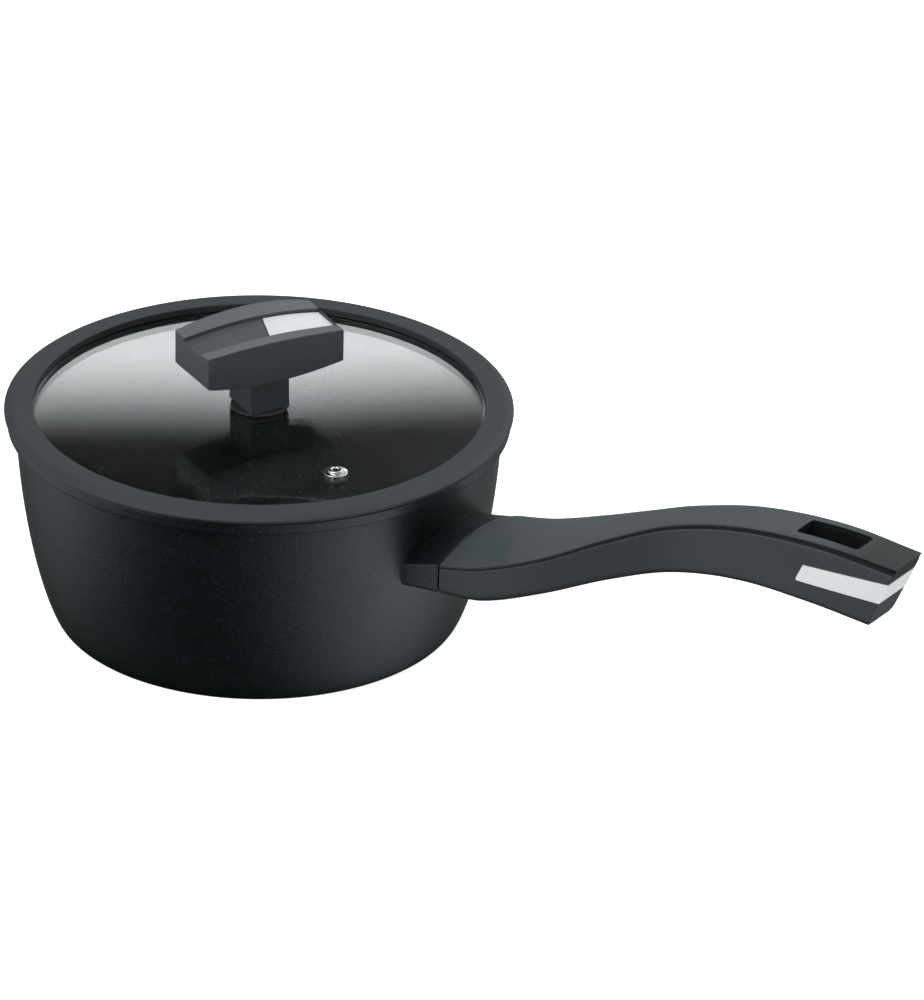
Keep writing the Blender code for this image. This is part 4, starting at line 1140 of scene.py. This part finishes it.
def build_world():
    """Studio surround: soft panels, and a bright backdrop behind the pan that fades upwards."""
    world = bpy.data.worlds.new("studio")
    bpy.context.scene.world = world
    world.use_nodes = True
    tree = world.node_tree
    background = tree.nodes["Background"]
    direction = add_node(tree, "ShaderNodeTexCoord").outputs["Generated"]
    height = add_node(tree, "ShaderNodeSeparateXYZ", {0: direction}).outputs["Z"]

    def along(vector):
        return add_node(tree, "ShaderNodeVectorMath", {0: direction, 1: tuple(vector)},
                        operation="DOT_PRODUCT").outputs["Value"]

    side = along(heading(90.0))
    drooping = calculate(tree, "MULTIPLY", calculate(tree, "ABSOLUTE", side, 0.0), BACKDROP_DROOP)
    leaning = calculate(tree, "ADD", drooping, calculate(tree, "MULTIPLY", side, BACKDROP_LEAN))
    raised = calculate(tree, "ADD", height, leaning)
    fade_up = spread(tree, raised, *BACKDROP_TOP, 1.0, 0.0, "SMOOTHSTEP")
    fade_down = spread(tree, height, *BACKDROP_BOTTOM, 0.0, 1.0, "SMOOTHSTEP")
    fade_round = spread(tree, along(heading(180.0)), *BACKDROP_SIDES, 0.0, BACKDROP_STRENGTH,
                        "SMOOTHSTEP")
    total = calculate(tree, "MULTIPLY", calculate(tree, "MULTIPLY", fade_up, fade_round), fade_down)
    for angle, rise, strength in PANELS:
        tilt = math.radians(rise)
        towards = heading(angle) * math.cos(tilt) + Vector((0.0, 0.0, math.sin(tilt)))
        panel = spread(tree, along(towards), PANEL_EDGE, PANEL_CORE, 0.0, strength, "SMOOTHSTEP")
        total = calculate(tree, "ADD", total, panel)
    tree.links.new(total, background.inputs["Strength"])
    background.inputs["Color"].default_value = SURROUND_TINT


# Coats: dark, light and fleck colour, fleck share and scale, roughness, specular

COAT_LOOKS = (
    ("non_stick_coat_look", (0.0054, 0.0066, 0.0076), (0.0090, 0.0110, 0.0124),
     (0.13, 0.16, 0.17), 0.30, 2100.0, 0.38, 0.48),
    # Painted light: a lighter copy of the coat for the lug's upright sides
    ("lug_side_painted_light_look", (0.028, 0.034, 0.037), (0.046, 0.055, 0.060),
     (0.22, 0.27, 0.28), 0.20, 1700.0, 0.42, 0.5),
    ("pan_inside_look", (0.0055, 0.0070, 0.0080), (0.009, 0.0115, 0.0130),
     (0.55, 0.60, 0.60), 0.16, 1900.0, 0.42, 0.5),
)

# Metals: light and dark colour, roughness, scale and turn of the grain, metallic, painted glow

METAL_LOOKS = (
    ("polished_steel_look", (0.78, 0.78, 0.77), (0.66, 0.66, 0.65), 0.16, (420.0, 420.0, 40.0), 0.0),
    ("base_steel_look", (0.62, 0.61, 0.60), (0.48, 0.47, 0.46), 0.32, (900.0, 900.0, 900.0), 0.0),
    # The band's silver has a painted glow that lightens it
    ("brushed_silver_painted_glow_look", (0.97, 0.98, 0.98), (0.90, 0.91, 0.91), 0.42, (70.0, 2400.0, 2400.0), 0.0,
     0.12, 0.15),
    ("knob_silver_look", (0.90, 0.91, 0.91), (0.80, 0.81, 0.81), 0.42, (70.0, 2400.0, 2400.0),
     KNOB_ANGLE, 0.3),
    ("turned_brass_look", (0.78, 0.60, 0.30), (0.66, 0.48, 0.22), 0.3, (30.0, 30.0, 2600.0), 0.0),
)

# Plastics and rubbers: dark and light colour, roughness, specular, grain's scale and depth, painted shade
# along X

MOULDED_LOOKS = (
    ("grip_plastic_look", (0.042, 0.046, 0.049), (0.064, 0.069, 0.073), 0.55, 0.55, 1500.0, 0.00006),
    # Painted shade: the cover darkens towards the tail, where its top tilts down
    ("grip_cover_look", (0.041, 0.051, 0.053), (0.067, 0.081, 0.084), 0.54, 0.55, 1900.0, 0.00005,
     (0.262, 0.288, (0.010, 0.014, 0.015))),
    # Painted shade, put on the slot's walls, the groove under the cover and the heat shield's sunk faces
    ("slot_shade_look", (0.006, 0.007, 0.008), (0.010, 0.011, 0.012), 0.70, 0.25, 1500.0, 0.00004),
    # Painted light: a lighter copy of the knob plastic for the ridges' upward faces
    ("knob_ridge_look", (0.072, 0.084, 0.090), (0.135, 0.152, 0.160), 0.56, 0.6, 1300.0, 0.00008),
    ("knob_plastic_look", (0.043, 0.050, 0.054), (0.070, 0.080, 0.086), 0.56, 0.6, 1500.0, 0.00007),
    ("lid_rubber_look", (0.026, 0.030, 0.032), (0.036, 0.041, 0.043), 0.60, 0.45, 2200.0, 0.00003),
    ("seal_rubber_look", (0.060, 0.064, 0.066), (0.095, 0.100, 0.103), 0.6, 0.4, 1800.0, 0.00003),
)


def main():
    coat, lit_lug_coat, inner_coat = (coat_material(*look) for look in COAT_LOOKS)
    steel, base_steel, silver, knob_silver, brass = (metal_material(*look) for look in METAL_LOOKS)
    grip, soft, shade, lit_ridge, knob, rubber, seal = (moulded_material(*look) for look in MOULDED_LOOKS)
    glass = glass_material("clear_glass_look")

    build_pan(coat, inner_coat)
    build_lug(coat, lit_lug_coat)
    build_heat_shield(steel, shade)
    build_base_plate(base_steel)
    build_grip(grip, soft, shade, silver)
    build_glass(glass)
    build_lid_ring(rubber)
    build_vent(steel, seal)
    build_knob(knob, lit_ridge, knob_silver, seal)
    repaint(steel, "handle_screw", "handle_washer", "knob_screw", "knob_washer")
    repaint(seal, "knob_grommet")
    repaint(brass, "knob_insert")

    build_floor()
    build_world()
    build_camera()
    bpy.context.scene.view_settings.view_transform = "Standard"


main()
